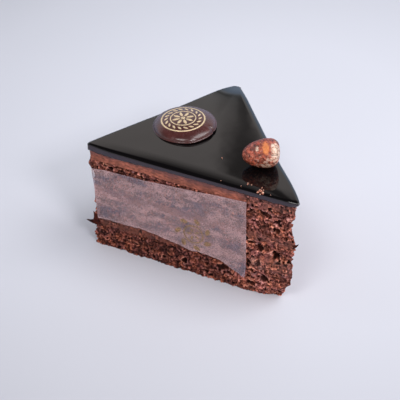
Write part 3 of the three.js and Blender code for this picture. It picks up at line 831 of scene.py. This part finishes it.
def make_layer(name, step, rough, scale):
    """One layer of cake: a cut surface with bubbles opened in it and rough crumb between them."""
    edge = outline(step)
    low, high = (join_edge(join, edge.at)[:, None] for join in (BELOW[name], name))
    rows = max(4, round((high.mean() - low.mean()) / step))
    share = np.linspace(0, 1, rows + 1)[None, :]
    z = low + (high - low) * share
    inner = smoothstep(np.minimum(share, 1 - share), 0, 0.16)
    surface = cut_surface(edge, z, JOIN_ROUGH + (rough - JOIN_ROUGH) * inner)
    inward = np.broadcast_to(edge.inward[:, None, :], surface.shape)
    torn = crumbly(name, edge.at)[:, None]
    fine, depth, looks = crumb_texture(surface, inward, torn, scale)
    height = fine - np.minimum(depth, 0.5 + 0.3 * edge.corner[:, None])
    moved = surface - inward * height[..., None]
    if name == "sponge_bottom":
        moved[:, 0, 2] = 0
    # ridge: the height against its blur, painted lighter on ridges and darker in hollows as painted
    # light and shade.
    ridge = 0.5 + (height - blurred(height, round(1.2 / step))) / 1.5
    ridge = np.clip(ridge + (looks["set"] - ridge) * looks["mask"] + looks["lit"], 0, 1)
    # Paler crumb, low down near the tip.
    pale_s, pale_z = (bell((at - middle) / spread) for at, middle, spread in zip(
        (edge.s[:, None], z), PALE_TIP_FOOT_AT, PALE_TIP_FOOT_SPREAD))
    # Darker mauve towards the top of the top cream: partly glaze stain, partly painted shade under
    # the glaze's overhang.
    stain_and_shade = STAIN_AND_SHADE.get(name, 0) * smoothstep(share + 0.2 * fractal(surface, 4, 2), 0.35, 1)
    # Painted shade that darkens the foot of the slice away from the tip.
    dim = FOOT_PAINTED_SHADE.get(name, 0) * smoothstep(apart(edge.at, TIP_VERTEX), 18, 40)[:, None]
    fields = {"depth": looks["seen"], "ridge": ridge, "crumb": torn, "pale_tip_foot": pale_s * pale_z,
              "stain_and_shade": stain_and_shade, "dim": dim}
    return loft(f"{name}_crumb", moved.transpose(1, 0, 2), join_middle(BELOW[name]),
                join_middle(name), **{key: field.T for key, field in fields.items()})


class CAKE_OT_sponges(bpy.types.Operator):
    """Make the three sponges with their open crumb"""

    bl_idname = "cake.make_sponges"
    bl_label = "Make Sponges"

    def execute(self, context):
        sizes, colours = chosen(context)
        for name in SPONGES:
            piece = make_layer(name, sizes.mesh_step / MM, SPONGE_ROUGH, sizes.bubble_scale)
            finish_piece(piece, sponge_material(f"{name}_finish", colours), name)
        return {"FINISHED"}


class CAKE_OT_creams(bpy.types.Operator):
    """Make the three layers of chocolate cream"""

    bl_idname = "cake.make_creams"
    bl_label = "Make Creams"

    def execute(self, context):
        sizes, colours = chosen(context)
        material = cream_material("cream_finish", colours)
        for name in TORN_CREAM:
            step = sizes.mesh_step / MM * CREAM_COARSER
            piece = make_layer(name, step, CREAM_ROUGH, sizes.bubble_scale)
            finish_piece(piece, material, name)
        return {"FINISHED"}


# ------------------------------------------------------------------ glaze
def by_side(values, front, tight, edge):
    """A value of each side, blended over a few millimetres round the corners."""
    x, y = edge.at.T
    outer = bell(np.maximum(x - OUTER_X, 0) / SIDE_BLEND)
    cut = front + (values["back"] * tight - front) * smoothstep(y - MID_Y, -8, 8)
    return cut + (values["outer"] - cut) * outer


def glaze_sag(plan):
    """The glaze sinks at the back corner and towards the front cut, and is fuller at the tip."""
    back = CORNER_SAG * bell(apart(plan, BACK_CORNER) / CORNER_SAG_REACH)
    tip = TIP_LIFT * bell(apart(plan, TIP_VERTEX) / TIP_LIFT_REACH)
    inset, s = (FRONT_CORNER - plan) @ FRONT_OUT, (plan - FRONT_CORNER) @ FRONT_ALONG
    return back - tip + along(FRONT_EASE, s) * np.square(np.clip(1 - inset / EASE_REACH, 0, 1))


def glaze_rings(edge):
    """Rings of the glaze and how much of its side each shows, from the foot to the middle.

    They are the start on the cream, the hanging skirt, the upright side, the quarter-ellipse roll
    and shrinking top rings. A top ring is the foot's outline scaled about the centre of the slice
    by 1 - inset / inradius, which insets all three sides by the same length.
    """
    start_z = join_edge("cream_top", edge.at)
    rings, upright = [cut_surface(edge, start_z[:, None], JOIN_ROUGH)[:, 0]], [1.0]

    def ring(plan, z, side):
        rings.append(np.column_stack((plan, z)))
        upright.append(side)

    tip, corner = apart(edge.at, TIP_VERTEX), apart(edge.at, FRONT_CORNER)
    over = GLAZE_OVERHANG + 0.06 * plan_noise(edge.at, 6, 2.0)
    far_tip = bell((VERTEX_X - edge.at[:, 0] - TIP_OVERHANG_AT) / TIP_OVERHANG_REACH)
    over += TIP_OVERHANG * far_tip * smoothstep(edge.at[:, 1] - MID_Y, -1, 5)
    over -= TIP_TRIM * bell(tip / TIP_TRIM_REACH)
    taper = TIP_TAPER * bell(tip / TIP_TAPER_REACH)
    foot = edge.at + edge.out * over[:, None]
    outer = bell(np.maximum(edge.at[:, 0] - OUTER_X, 0) / 6)
    foot[:, 0] -= along(OUTER_STAND, corner) * outer
    skirt = along(GLAZE_SKIRT, np.where(edge.front, edge.s, corner))
    skirt += 0.12 * plan_noise(edge.at, 2.4, 4.0)
    foot_z = start_z + GLAZE_LIP - skirt * (1 - outer * 0.4)
    tight = 1 - TIP_TIGHT * smoothstep(-tip, -30, -10)
    roll = by_side(EDGE_ROLL, along(FRONT_ROLL, edge.s), tight, edge)
    drop = by_side(EDGE_DROP, along(FRONT_DROP, edge.s), tight, edge)
    shoulder = HEIGHT - drop - glaze_sag(edge.at)
    for share in np.linspace(0, 1, SKIRT_ROWS):
        drawn_in = np.column_stack((foot[:, 0] - taper * (1 - share) ** 1.5, foot[:, 1]))
        ring(drawn_in, foot_z + (shoulder - foot_z) * share, 1.0)
    for angle in np.linspace(0, math.pi / 2, ROLL_ROWS)[1:]:
        scale = 1 - (1 - math.cos(angle)) * roll / INRADIUS
        plan = CENTRE + (foot - CENTRE) * scale[:, None]
        ring(plan, HEIGHT - glaze_sag(plan) - drop * (1 - math.sin(angle)),
             max(0.0, 1 - 2.5 * angle))
    for share in np.linspace(1, 0.02, TOP_ROWS)[1:]:
        plan = CENTRE + (foot - CENTRE) * ((1 - roll / INRADIUS) * share)[:, None]
        swell = 0.03 + 0.03 * plan_noise(plan, 14, 7.0)
        ring(plan, HEIGHT - glaze_sag(plan) - swell * smoothstep(1 - share, 0, 0.6), 0.0)
    return np.array(rings), np.array(upright)[:, None]


class CAKE_OT_glaze(bpy.types.Operator):
    """Make the mirror glaze with its rolled edge"""

    bl_idname = "cake.make_glaze"
    bl_label = "Make Glaze"

    def execute(self, context):
        rings, upright = glaze_rings(outline(GLAZE_STEP))
        top = (*CENTRE, rings[-1][:, 2].mean())
        piece = loft("glaze_shell", rings, join_middle("cream_top"), top, upright=upright)
        finish_piece(piece, glaze_material(context.scene.cake_colours), "glaze")
        return {"FINISHED"}


# ------------------------------------------------------------------ button and its print
def button_rise(x, y):
    """How far the button's seat stands over the glaze: it lies a little askew."""
    return BUTTON_LIFT + BUTTON_TILT * (x * math.cos(BUTTON_TILT_ANGLE)
                                        + y * math.sin(BUTTON_TILT_ANGLE))


def dome_height(part, height):
    """Height of the button over its flange at a share of the shoulder's radius."""
    part = np.clip(part, 0, 1)
    return BUTTON_FLANGE + (height - BUTTON_FLANGE) * (1 - part ** 2.4) ** (1 / 2.1)


def on_button(x, y, z):
    """Places given from the button's middle and seat, in the slice's own axes."""
    return np.stack((BUTTON_MIDDLE[0] + x, BUTTON_MIDDLE[1] + y, HEIGHT + button_rise(x, y) + z),
                    -1)


def make_button(radius, height):
    """The button: a foot, a thin flange and a dome, each ring turned about its middle."""
    angle = 2 * math.pi * np.arange(BUTTON_SIDES) / BUTTON_SIDES
    part = np.cos(np.linspace(0, math.pi / 2, BUTTON_STEPS + 1)[:-1])
    foot = [(radius * 0.3, 0), (radius * 0.8, 0), (radius - 0.8, 0), (radius - 0.3, 0.06),
            (radius - 0.05, 0.25), (radius, 0.42), (radius - 0.06, 0.58), (radius - 0.2, 0.68)]
    dome = np.column_stack(((radius - BUTTON_SHOULDER) * part, dome_height(part, height)))
    reach, z = np.concatenate((foot, dome)).T[..., None]
    uneven = 0.06 * noise(2 * np.cos(angle), 2 * np.sin(angle), 5.0)
    notch = bell(turned(angle, NOTCH_ANGLE) / 0.05) * bell((reach - radius) / 2.2)
    reach = reach * (1 + uneven * (reach / radius) ** 4 * 0.3) - 0.45 * notch
    z = z - 0.35 * notch * (z > BUTTON_FLANGE)
    seat = HEIGHT + BUTTON_LIFT
    return loft("chocolate_button_dome", on_button(reach * np.cos(angle), reach * np.sin(angle), z),
                (*BUTTON_MIDDLE, seat), (*BUTTON_MIDDLE, seat + height))


def ornament(name, place, radius, thickness, rings, leaves):
    """A plain generic rosette of rings and leaves, as thin closed films on a surface.

    place maps distances and bearings to points and normals. A leaf is a strip whose half width is
    (1 - u^2)^0.7 along its own length u.
    """
    films = []
    for inner, outer in rings:
        reach = np.linspace(inner, outer, 3)[:, None] * radius
        films += [np.broadcast_arrays(reach, start + np.linspace(0, math.pi, 61))
                  for start in (0, math.pi)]
    u, v = np.linspace(-1, 1, 13), np.linspace(-1, 1, 5)[:, None]
    for count, distance, reach, width, tilt in leaves:
        down, across = u * reach / 2, v * width / 2 * (1 - u ** 2) ** 0.7
        x = (distance + down * math.cos(tilt) - across * math.sin(tilt)) * radius
        y = (down * math.sin(tilt) + across * math.cos(tilt)) * radius
        films += [(np.hypot(x, y)[::-1], (np.arctan2(y, x) + bearing)[::-1])
                  for bearing in 2 * math.pi * (np.arange(count) + 0.5) / count]
    points, faces = [], []
    for film in films:
        point, normal = place(*film)
        made, quads = shell(point - normal * thickness * 0.3, point + normal * thickness)
        faces.append(quads + sum(map(len, points)))
        points.append(made)
    return make_mesh(name, np.concatenate(points), np.concatenate(faces))


class CAKE_OT_button(bpy.types.Operator):
    """Make the chocolate button and the gold rosette on it"""

    bl_idname = "cake.make_button"
    bl_label = "Make Chocolate Button"

    def execute(self, context):
        sizes, colours = chosen(context)
        radius, height = sizes.button_radius / MM, sizes.button_height / MM
        button = make_button(radius, height)
        finish_piece(button, chocolate_material(colours), "chocolate_button")
        shoulder, nudge = radius - BUTTON_SHOULDER, 1e-3

        def on_dome(reach, bearing):
            x = PRINT_SHIFT[0] + reach * np.cos(bearing)
            y = PRINT_SHIFT[1] + reach * np.sin(bearing)
            away = np.hypot(x, y)
            part = away / shoulder
            slope = dome_height(part + nudge, height) - dome_height(part - nudge, height)
            slope = slope / (2 * nudge * shoulder * away)
            normal = np.stack((-slope * x, -slope * y, np.ones_like(x)), -1)
            return on_button(x, y, dome_height(part, height)), unit(normal)

        rosette = ornament("button_print", on_dome, PRINT_RADIUS, PRINT_FILM, BUTTON_RINGS,
                           BUTTON_LEAVES)
        finish_piece(rosette, gold_material("gold_print", colours.gold, 1.0))
        return {"FINISHED"}


# ------------------------------------------------------------------ hazelnut
def make_nut(length, height):
    """The nut: rings along its length, from the point at t = -1 to the scar at t = 1.

    Girth is half the height times a profile that is a cone at the point and blunt at the scar.
    `turn` is the angle about the length, 0 on top, and `face` is the bearing of the side that
    has lost most of its skin. Wrinkles run along the nut and cross each other.
    """
    t = -np.cos(math.pi * np.arange(1, NUT_RINGS) / NUT_RINGS)[:, None]
    share = (t + 1) / 2
    profile = share ** 0.4 * (1 - share ** 5) ** 0.42
    profile = profile / profile.max()
    t, turn = np.broadcast_arrays(t, 2 * math.pi * np.arange(NUT_SIDES) / NUT_SIDES)
    c, s, face = np.cos(turn), np.sin(turn), turned(turn, NUT_FACE)
    lumps = 0.4 * noise(1.8 * t + 9, 2.0 * c, 2.0 * s)
    folds = np.abs(noise(2.6 * t + 0.8 * s, 4.2 * c, 4.2 * s))
    creases = np.abs(noise(5.5 * t, 10 * c + 3, 10 * s))
    shape = np.stack((2.2 * t, 1.9 * c, 1.9 * s), -1)
    speckle, patches = fractal(shape, 0.32, 3, 6.0), fractal(shape, 1.0, 3, 2.0)
    # The third spot is a painted glint: pale flesh standing in for a highlight.
    bare_and_glint = np.maximum.reduce((1.35 * bell((t - 0.82) / 0.46) * bell((face - 0.05) / 1.05),
                              0.92 * bell((t - 0.1) / 0.8) * bell((face + 1.05) / 0.36),
                              1.0 * bell((t + 0.22) / 0.12) * bell((face - 0.28) / 0.36)))
    bare_and_glint = smoothstep(bare_and_glint + 0.42 * speckle + 0.4 * np.maximum(patches, 0), 0.55, 0.95)
    gloss = bell((t - 0.19) / 0.3) * bell((face - 0.35) / 0.72) + 0.25 * speckle
    gloss, bare_and_glint = smoothstep(gloss, 0.35, 0.95), bare_and_glint * (1 - smoothstep(gloss, 0.4, 0.6))
    # crease also darkens the folds in the nut's colour, as painted shade.
    crease = np.clip(1 - 3.6 * folds, 0, 1) * 0.6 + np.clip(1 - 3.5 * creases, 0, 1) * 0.35
    crease = np.clip(crease * (1 - 0.8 * gloss), 0, 1)
    ruddy = smoothstep(face + 0.35 * patches + 0.3 * t, 0.35, 1.1) * (1 - gloss) * (1 - bare_and_glint)
    # under: painted shade on the underside.
    fields = {"bare_and_glint": bare_and_glint, "gloss": gloss, "crease": crease, "under": smoothstep(-c, 0.25, 0.9),
              "flake": 0.5 + 0.5 * smoothstep(-0.4 - face + 0.5 * patches, 0, 0.7),
              "ruddy": ruddy}
    belly = 0.07 * bell((t + 0.4) / 0.45) * smoothstep(-c, -0.3, 0.6)
    reach = profile * (height / 2 + lumps) * (1 + belly)
    reach = reach - (0.22 * crease + 0.1 * bare_and_glint) * profile ** 0.5
    local = np.stack((t * length / 2, s * reach, c * reach + NUT_TILT * t * length / 2), -1)
    spun = np.array(((math.cos(NUT_TURN), math.sin(NUT_TURN), 0),
                     (-math.sin(NUT_TURN), math.cos(NUT_TURN), 0), (0, 0, 1)))
    place = np.array((*NUT_PLACE, HEIGHT - local[..., 2].min() - 0.15))
    ends = [np.array((sign * length / 2, 0, 0)) @ spun + place for sign in (-1, 1)]
    return loft("hazelnut_skin", (local @ spun + place)[:, ::-1], *ends,
                **{key: field[:, ::-1] for key, field in fields.items()})


class CAKE_OT_hazelnut(bpy.types.Operator):
    """Make the roasted hazelnut"""

    bl_idname = "cake.make_hazelnut"
    bl_label = "Make Hazelnut"

    def execute(self, context):
        sizes, colours = chosen(context)
        nut = make_nut(sizes.nut_length / MM, sizes.nut_height / MM)
        finish_piece(nut, nut_material(colours), "hazelnut")
        return {"FINISHED"}


# ------------------------------------------------------------------ paper
def front_place(s, z, lift):
    """A point beside the front cut: s along it, z up and lift out from its plane."""
    plan = FRONT_CORNER + FRONT_ALONG * s[..., None] + FRONT_OUT * lift[..., None]
    return np.concatenate((plan, z[..., None]), -1)


def paper_lift(s, z):
    """How far the paper stands from the plane of the cut: waves, and the curled lower corner."""
    wave = 0.2 * noise(s / 13, z / 11, 3.0)
    crease = 0.12 * noise(s / 3.1, z / 3.7, 8.0)
    return PAPER_CLEARANCE + wave + crease + PAPER_CURL * bell((s - 78) / 8) * bell((z - 8) / 6)


def paper_gap(s, z, lift, scale):
    """The distance from the paper to the cake behind it, from the same texture as the layers'."""
    at = FRONT_CORNER + FRONT_ALONG * s[..., None]
    torn, rough = np.zeros(s.shape), np.zeros(s.shape)
    for name, below in BELOW.items():
        here = (z >= join_height(below, at)) & (z < join_height(name, at))
        torn = np.where(here, crumbly(name, at), torn)
        rough = np.where(here, CREAM_ROUGH if name in TORN_CREAM else SPONGE_ROUGH, rough)
    relief = broad_relief(at, s, True, z, rough)
    surface = front_place(s, z, relief)
    inward = np.broadcast_to((*-FRONT_OUT, 0), surface.shape)
    fine, depth, _ = crumb_texture(surface, inward, torn, scale)
    return lift - relief - fine + depth


def make_paper(thickness, scale):
    """The strip: a grid between its torn lower edge and its cut upper edge, as a thin shell."""
    u, v = np.linspace(0, 1, PAPER_COLUMNS)[None, :], np.linspace(0, 1, PAPER_ROWS)[:, None]
    low_s, top_s = (edge[0][0] + (edge[-1][0] - edge[0][0]) * u
                    for edge in (PAPER_BOTTOM, PAPER_TOP))
    torn = 0.35 * noise(low_s / 2.3, 0, 0) + 0.15 * noise(low_s / 0.8, 0, 5)
    low_z, top_z = along(PAPER_BOTTOM, low_s) + torn, along(PAPER_TOP, top_s)
    s, z = low_s + (top_s - low_s) * v, low_z + (top_z - low_z) * v
    lift = paper_lift(s, z)
    streaks = 0.3 * noise(s / 9, z / 2.6, 1.0) + 0.2 * noise(s / 3.6, z / 1.4, 5.0)
    # gap also sets painted shade: the paper is darker and bluer where the cake behind it is hollow.
    gap = 0.5 + streaks + 0.22 * (blurred(paper_gap(s, z, lift, scale), 2) - 1.5)
    rim = np.minimum.reduce((z - low_z, top_z - z, s - s[:, :1], s[:, -1:] - s))
    points, quads = shell(*(front_place(s, z, lift + side * thickness / 2) for side in (-1, 1)))
    return make_mesh("paper_sheet", points, quads, gap=np.tile(gap.ravel(), 2),
                     rim=np.tile(1 - smoothstep(rim, 0.15, 0.7).ravel(), 2))


class CAKE_OT_paper(bpy.types.Operator):
    """Make the clear paper and the faint rosette printed on it"""

    bl_idname = "cake.make_paper"
    bl_label = "Make Paper"

    def execute(self, context):
        sizes, colours = chosen(context)
        thickness = sizes.paper_thickness / MM
        sheet = make_paper(thickness, sizes.bubble_scale)
        finish_piece(sheet, paper_material(colours), "paper_strip")

        def on_paper(reach, bearing):
            s = MARK_AT[0] + reach * np.cos(bearing)
            z = MARK_AT[1] + reach * np.sin(bearing)
            point = front_place(s, z, paper_lift(s, z) + thickness / 2 + MARK_LIFT)
            return point, np.broadcast_to((*FRONT_OUT, 0), point.shape)

        mark = ornament("paper_print", on_paper, MARK_RADIUS, MARK_FILM, MARK_RINGS, MARK_LEAVES)
        finish_piece(mark, gold_material("faint_gold", srgb(*FAINT_GOLD), 0.5))
        return {"FINISHED"}


# ------------------------------------------------------------------ loose crumbs
def crumb_shapes(places, sizes, spin, outward):
    """Small rough lumps: a cube's 26 outer lattice points pushed to a sphere and roughened."""
    lattice = np.delete(np.indices((3, 3, 3)).reshape(3, 27).T, 13, axis=0) - 1.0
    number = np.arange(27)
    number = (number - (number > 13)).reshape(3, 3, 3)
    quads = []
    for axis, end in np.ndindex(3, 2):
        face = np.take(number, 2 * end, axis=axis)
        square = np.stack((face[:-1, :-1], face[1:, :-1], face[1:, 1:], face[:-1, 1:]), -1)
        quads.append(square.reshape(-1, 4)[:, ::1 if (end == 1) != (axis == 1) else -1])
    ball = unit(lattice)
    rough = 1 + 0.35 * spin.uniform(-1, 1, (len(places), len(ball), 1))
    stretch = spin.uniform(0.6, 1.2, (len(places), 1, 3))
    points = places[:, None, :] + ball[None] * rough * stretch * sizes[:, None, None]
    points = points + outward[:, None, :] * sizes[:, None, None] * 0.25
    points[..., 2] = np.maximum(points[..., 2], 0.02)
    faces = np.concatenate(quads) + (np.arange(len(places)) * len(ball))[:, None, None]
    return points.reshape(-1, 3), faces


def wall_crumbs(count, spin):
    """Places, sizes and outward directions of crumbs that cling to the cut sponges."""
    whole = outline(CRUMB_STEP)
    picks = spin.integers(0, len(whole.at), count)
    edge = SimpleNamespace(**{key: field[picks] for key, field in vars(whole).items()})
    band = spin.choice(len(SPONGES), count, p=CRUMB_SHARES)
    share = spin.uniform(0.03, 0.97, count)
    low = np.choose(band, [join_height(BELOW[name], edge.at) for name in SPONGES])
    high = np.choose(band, [join_height(name, edge.at) for name in SPONGES])
    z = low + (high - low) * share
    places = cut_surface(edge, z[:, None], SPONGE_ROUGH)[:, 0]
    outward = np.pad(edge.out, ((0, 0), (0, 1)))
    sizes = 0.22 + 0.5 * spin.power(0.45, count)
    covered = edge.front & (edge.s < PAPER_TOP[-1][0] + 2)
    covered &= (z > along(PAPER_BOTTOM, edge.s) - 1) & (z < along(PAPER_TOP, edge.s) + 1)
    return places[~covered], sizes[~covered], outward[~covered]


def glaze_top(plan):
    """Height of the glaze over a place near its front edge."""
    s = (plan - FRONT_CORNER) @ FRONT_ALONG
    inset = (FRONT_CORNER - plan) @ FRONT_OUT + GLAZE_OVERHANG
    share = np.clip(1 - inset / along(FRONT_ROLL, s), 0, 1)
    return HEIGHT - glaze_sag(plan) - along(FRONT_DROP, s) * (1 - np.sqrt(1 - share ** 2))


def spike(start, end, width, side, bend):
    """A flat pointed splinter: an ellipse shrinking as (1 - p)^0.8 along a bent line."""
    ahead = unit(end - start)
    across = unit(np.cross(ahead, side))
    p = np.linspace(0, 0.98, SPLINTER_RINGS)[:, None, None]
    angle = (2 * math.pi * np.arange(SPLINTER_SIDES) / SPLINTER_SIDES)[None, :, None]
    rough = 1 + 0.2 * noise(9 * p, 3 * angle, start[2])
    half = width / 2 * (1 - p) ** 0.8 * rough
    middle = start + (end - start) * p + across * bend * np.sin(math.pi * p)
    rings = middle + across * np.cos(angle) * half + side * np.sin(angle) * half * 0.35
    return rings, start - ahead * 0.05, end


class CAKE_OT_crumbs(bpy.types.Operator):
    """Scatter loose crumbs on the sponges and the glaze, and set the splinters at two corners"""

    bl_idname = "cake.make_crumbs"
    bl_label = "Make Crumbs"

    def execute(self, context):
        sizes, colours = chosen(context)
        spin = np.random.default_rng(CRUMB_SEED)
        places, reach, outward = wall_crumbs(sizes.crumb_count, spin)
        piece = make_mesh("loose_crumbs", *crumb_shapes(places, reach, spin, outward), ridge=0.6)
        finish_piece(piece, sponge_material("crumb_finish", colours))

        plan, reach = GLAZE_CRUMBS[:, :2], GLAZE_CRUMBS[:, 2]
        places = np.column_stack((plan, glaze_top(plan) + reach * 0.4))
        upward = np.tile((0.0, 0.0, 1.0), (len(plan), 1))
        points, faces = crumb_shapes(places, reach, spin, upward)
        piece = make_mesh("glaze_crumbs", points, faces, ridge=spin.uniform(0.6, 1, len(points)))
        finish_piece(piece, flake_material(colours))

        for number, (start, end, width, bend) in enumerate(SPLINTERS):
            start, end = (front_place(*np.array((s, z, out))) for s, out, z in (start, end))
            rings, low, tip = spike(start, end, width, np.array((*FRONT_OUT, 0)), bend)
            piece = loft(f"splinter_{number}", rings, low, tip, ridge=0.28, dim=0.7)
            finish_piece(piece, sponge_material(f"splinter_finish_{number}", colours))
        return {"FINISHED"}


# ------------------------------------------------------------------ stage
def stage_world():
    """A pale backdrop that rises behind the slice, and a darker room above and in front."""
    world = bpy.data.worlds.new("studio")
    bpy.context.scene.world = world
    world.use_nodes = True
    sky = Nodes(world.node_tree)
    direction = sky.add("TexCoord", {}, "Generated")
    rise = sky.add("SeparateXYZ", {0: direction}, "Z")
    turn = math.radians(CAMERA_AZIMUTH)
    facing, sideways = (
        sky.add("VectorMath", {0: direction, 1: way}, "Value", operation="DOT_PRODUCT")
        for way in ((-math.sin(turn), math.cos(turn), 0), (math.cos(turn), math.sin(turn), 0)))

    def ramp(value, low, high, *stops):
        """Spreads low to high over a colour ramp and reads it off."""
        spread = sky.add("MapRange", {0: value, 1: low, 2: high})
        return sky.ramp(spread, *(((at - low) / (high - low), tone) for at, tone in stops),
                        smooth=True)

    far = ramp(rise, 0.0, 1.0, (0.0, HORIZON), (0.36, HORIZON),
               *((at, shade(BACKDROP, level)) for at, level in BACKDROP_RISE),
               (0.78, DARK_ROOM), (1.0, DARK_ROOM))
    slope = sky.add("Math", {0: sideways, 1: facing}, operation="DIVIDE")
    seam, gap = (ramp(slope, -0.1, 0.1, *stops) for stops in (SEAM, GAP))
    seam = sky.mix(ramp(rise, 0.0, 1.0, (0.548, 0.0), (0.562, 1.0)), seam, gap)
    high = ramp(rise, 0.0, 1.0, (0.38, 0.0), (0.5, 1.0))
    far = sky.mix(high, far, sky.times(far, seam))
    near = ramp(rise, 0.0, 1.0, (0.0, 0.8), (0.4, 0.65), (0.6, 0.05))
    front = ramp(facing, -1.0, 1.0, (-0.15, 0.0), (0.3, 1.0))
    background = world.node_tree.nodes["Background"]
    sky.put(background.inputs["Color"], sky.mix(front, near, far))


def stage_light(name, place, size, power, colour):
    """A soft box aimed at the middle of the slice."""
    light = bpy.data.lights.new(name, "AREA")
    light.shape = "RECTANGLE"
    light.size, light.size_y = size
    light.energy, light.color = power, colour
    lamp = bpy.data.objects.new(name, light)
    lamp.location = place
    aim = Vector(LIGHT_AIM) - lamp.location
    lamp.rotation_euler = aim.to_track_quat("-Z", "Y").to_euler()
    bpy.context.scene.collection.objects.link(lamp)


def stage_floor(colours):
    """A wide pale sheet under the slice, with a painted pool of light: darker away from the pool's
    middle.
    """
    corners = [(x * FLOOR_HALF, y * FLOOR_HALF, 0) for x, y in ((-1, -1), (1, -1), (1, 1), (-1, 1))]
    floor = make_mesh("studio_floor", corners, (0, 1, 2, 3))
    shader = Shader("pale_floor")
    tone = shader.ramp(shader.noise(3, 2), (0.3, shade(colours.floor, 0.985)),
                       (0.7, colours.floor))
    away = shader.add("VectorMath", {0: shader.add("TexCoord", {}, "Object"), 1: PAINTED_POOL_MIDDLE},
                      "Value", operation="DISTANCE")
    tone = shader.times(tone, shader.ramp(away, *PAINTED_FLOOR_LIGHT_POOL))
    floor.data.materials.append(shader.finish(tone, Roughness=0.7, Specular_IOR_Level=0.2))


def stage_camera():
    """The camera: turned about Z, then tilted down, then rolled about its own axis."""
    camera = bpy.data.cameras.new("camera")
    camera.lens, camera.sensor_width = CAMERA_LENS, 36
    camera.clip_start, camera.clip_end = 0.01, 20
    holder = bpy.data.objects.new("camera", camera)
    turns = ((CAMERA_AZIMUTH, "Z"), (90 - CAMERA_PITCH, "X"), (CAMERA_ROLL, "Z"))
    turn, tilt, roll = (Matrix.Rotation(math.radians(angle), 4, axis) for angle, axis in turns)
    holder.matrix_world = Matrix.Translation(Vector(CAMERA_PLACE) * MM) @ turn @ tilt @ roll
    bpy.context.scene.collection.objects.link(holder)
    bpy.context.scene.camera = holder


class CAKE_OT_stage(bpy.types.Operator):
    """Set up the floor, lights and camera"""

    bl_idname = "cake.make_stage"
    bl_label = "Make Stage"

    def execute(self, context):
        context.scene.view_settings.view_transform = "Standard"
        stage_world()
        stage_floor(context.scene.cake_colours)
        for light in LIGHTS:
            stage_light(*light)
        stage_camera()
        return {"FINISHED"}


class CAKE_PT_panel(bpy.types.Panel):
    """Lists the steps that make the slice, and its sizes and colours"""

    bl_idname = "CAKE_PT_panel"
    bl_label = "Cake Slice"
    bl_space_type = "VIEW_3D"
    bl_region_type = "UI"
    bl_category = "Cake Slice"

    def draw(self, context):
        for operator in OPERATORS:
            self.layout.operator(operator.bl_idname)
        for group in chosen(context):
            for name in group.bl_rna.properties.keys():
                if name not in ("rna_type", "name"):
                    self.layout.prop(group, name)


OPERATORS = (CAKE_OT_sponges, CAKE_OT_creams, CAKE_OT_glaze, CAKE_OT_button, CAKE_OT_hazelnut,
             CAKE_OT_paper, CAKE_OT_crumbs, CAKE_OT_stage)
CLASSES = (CakeSizes, CakeColours, *OPERATORS, CAKE_PT_panel)


def register():
    for entry in CLASSES:
        bpy.utils.register_class(entry)
    bpy.types.Scene.cake_sizes = PointerProperty(type=CakeSizes)
    bpy.types.Scene.cake_colours = PointerProperty(type=CakeColours)


def unregister():
    del bpy.types.Scene.cake_colours
    del bpy.types.Scene.cake_sizes
    for entry in reversed(CLASSES):
        bpy.utils.unregister_class(entry)


def main():
    register()
    bpy.ops.cake.make_sponges()
    bpy.ops.cake.make_creams()
    bpy.ops.cake.make_glaze()
    bpy.ops.cake.make_button()
    bpy.ops.cake.make_hazelnut()
    bpy.ops.cake.make_paper()
    bpy.ops.cake.make_crumbs()
    bpy.ops.cake.make_stage()


if __name__ == "__main__":
    main()
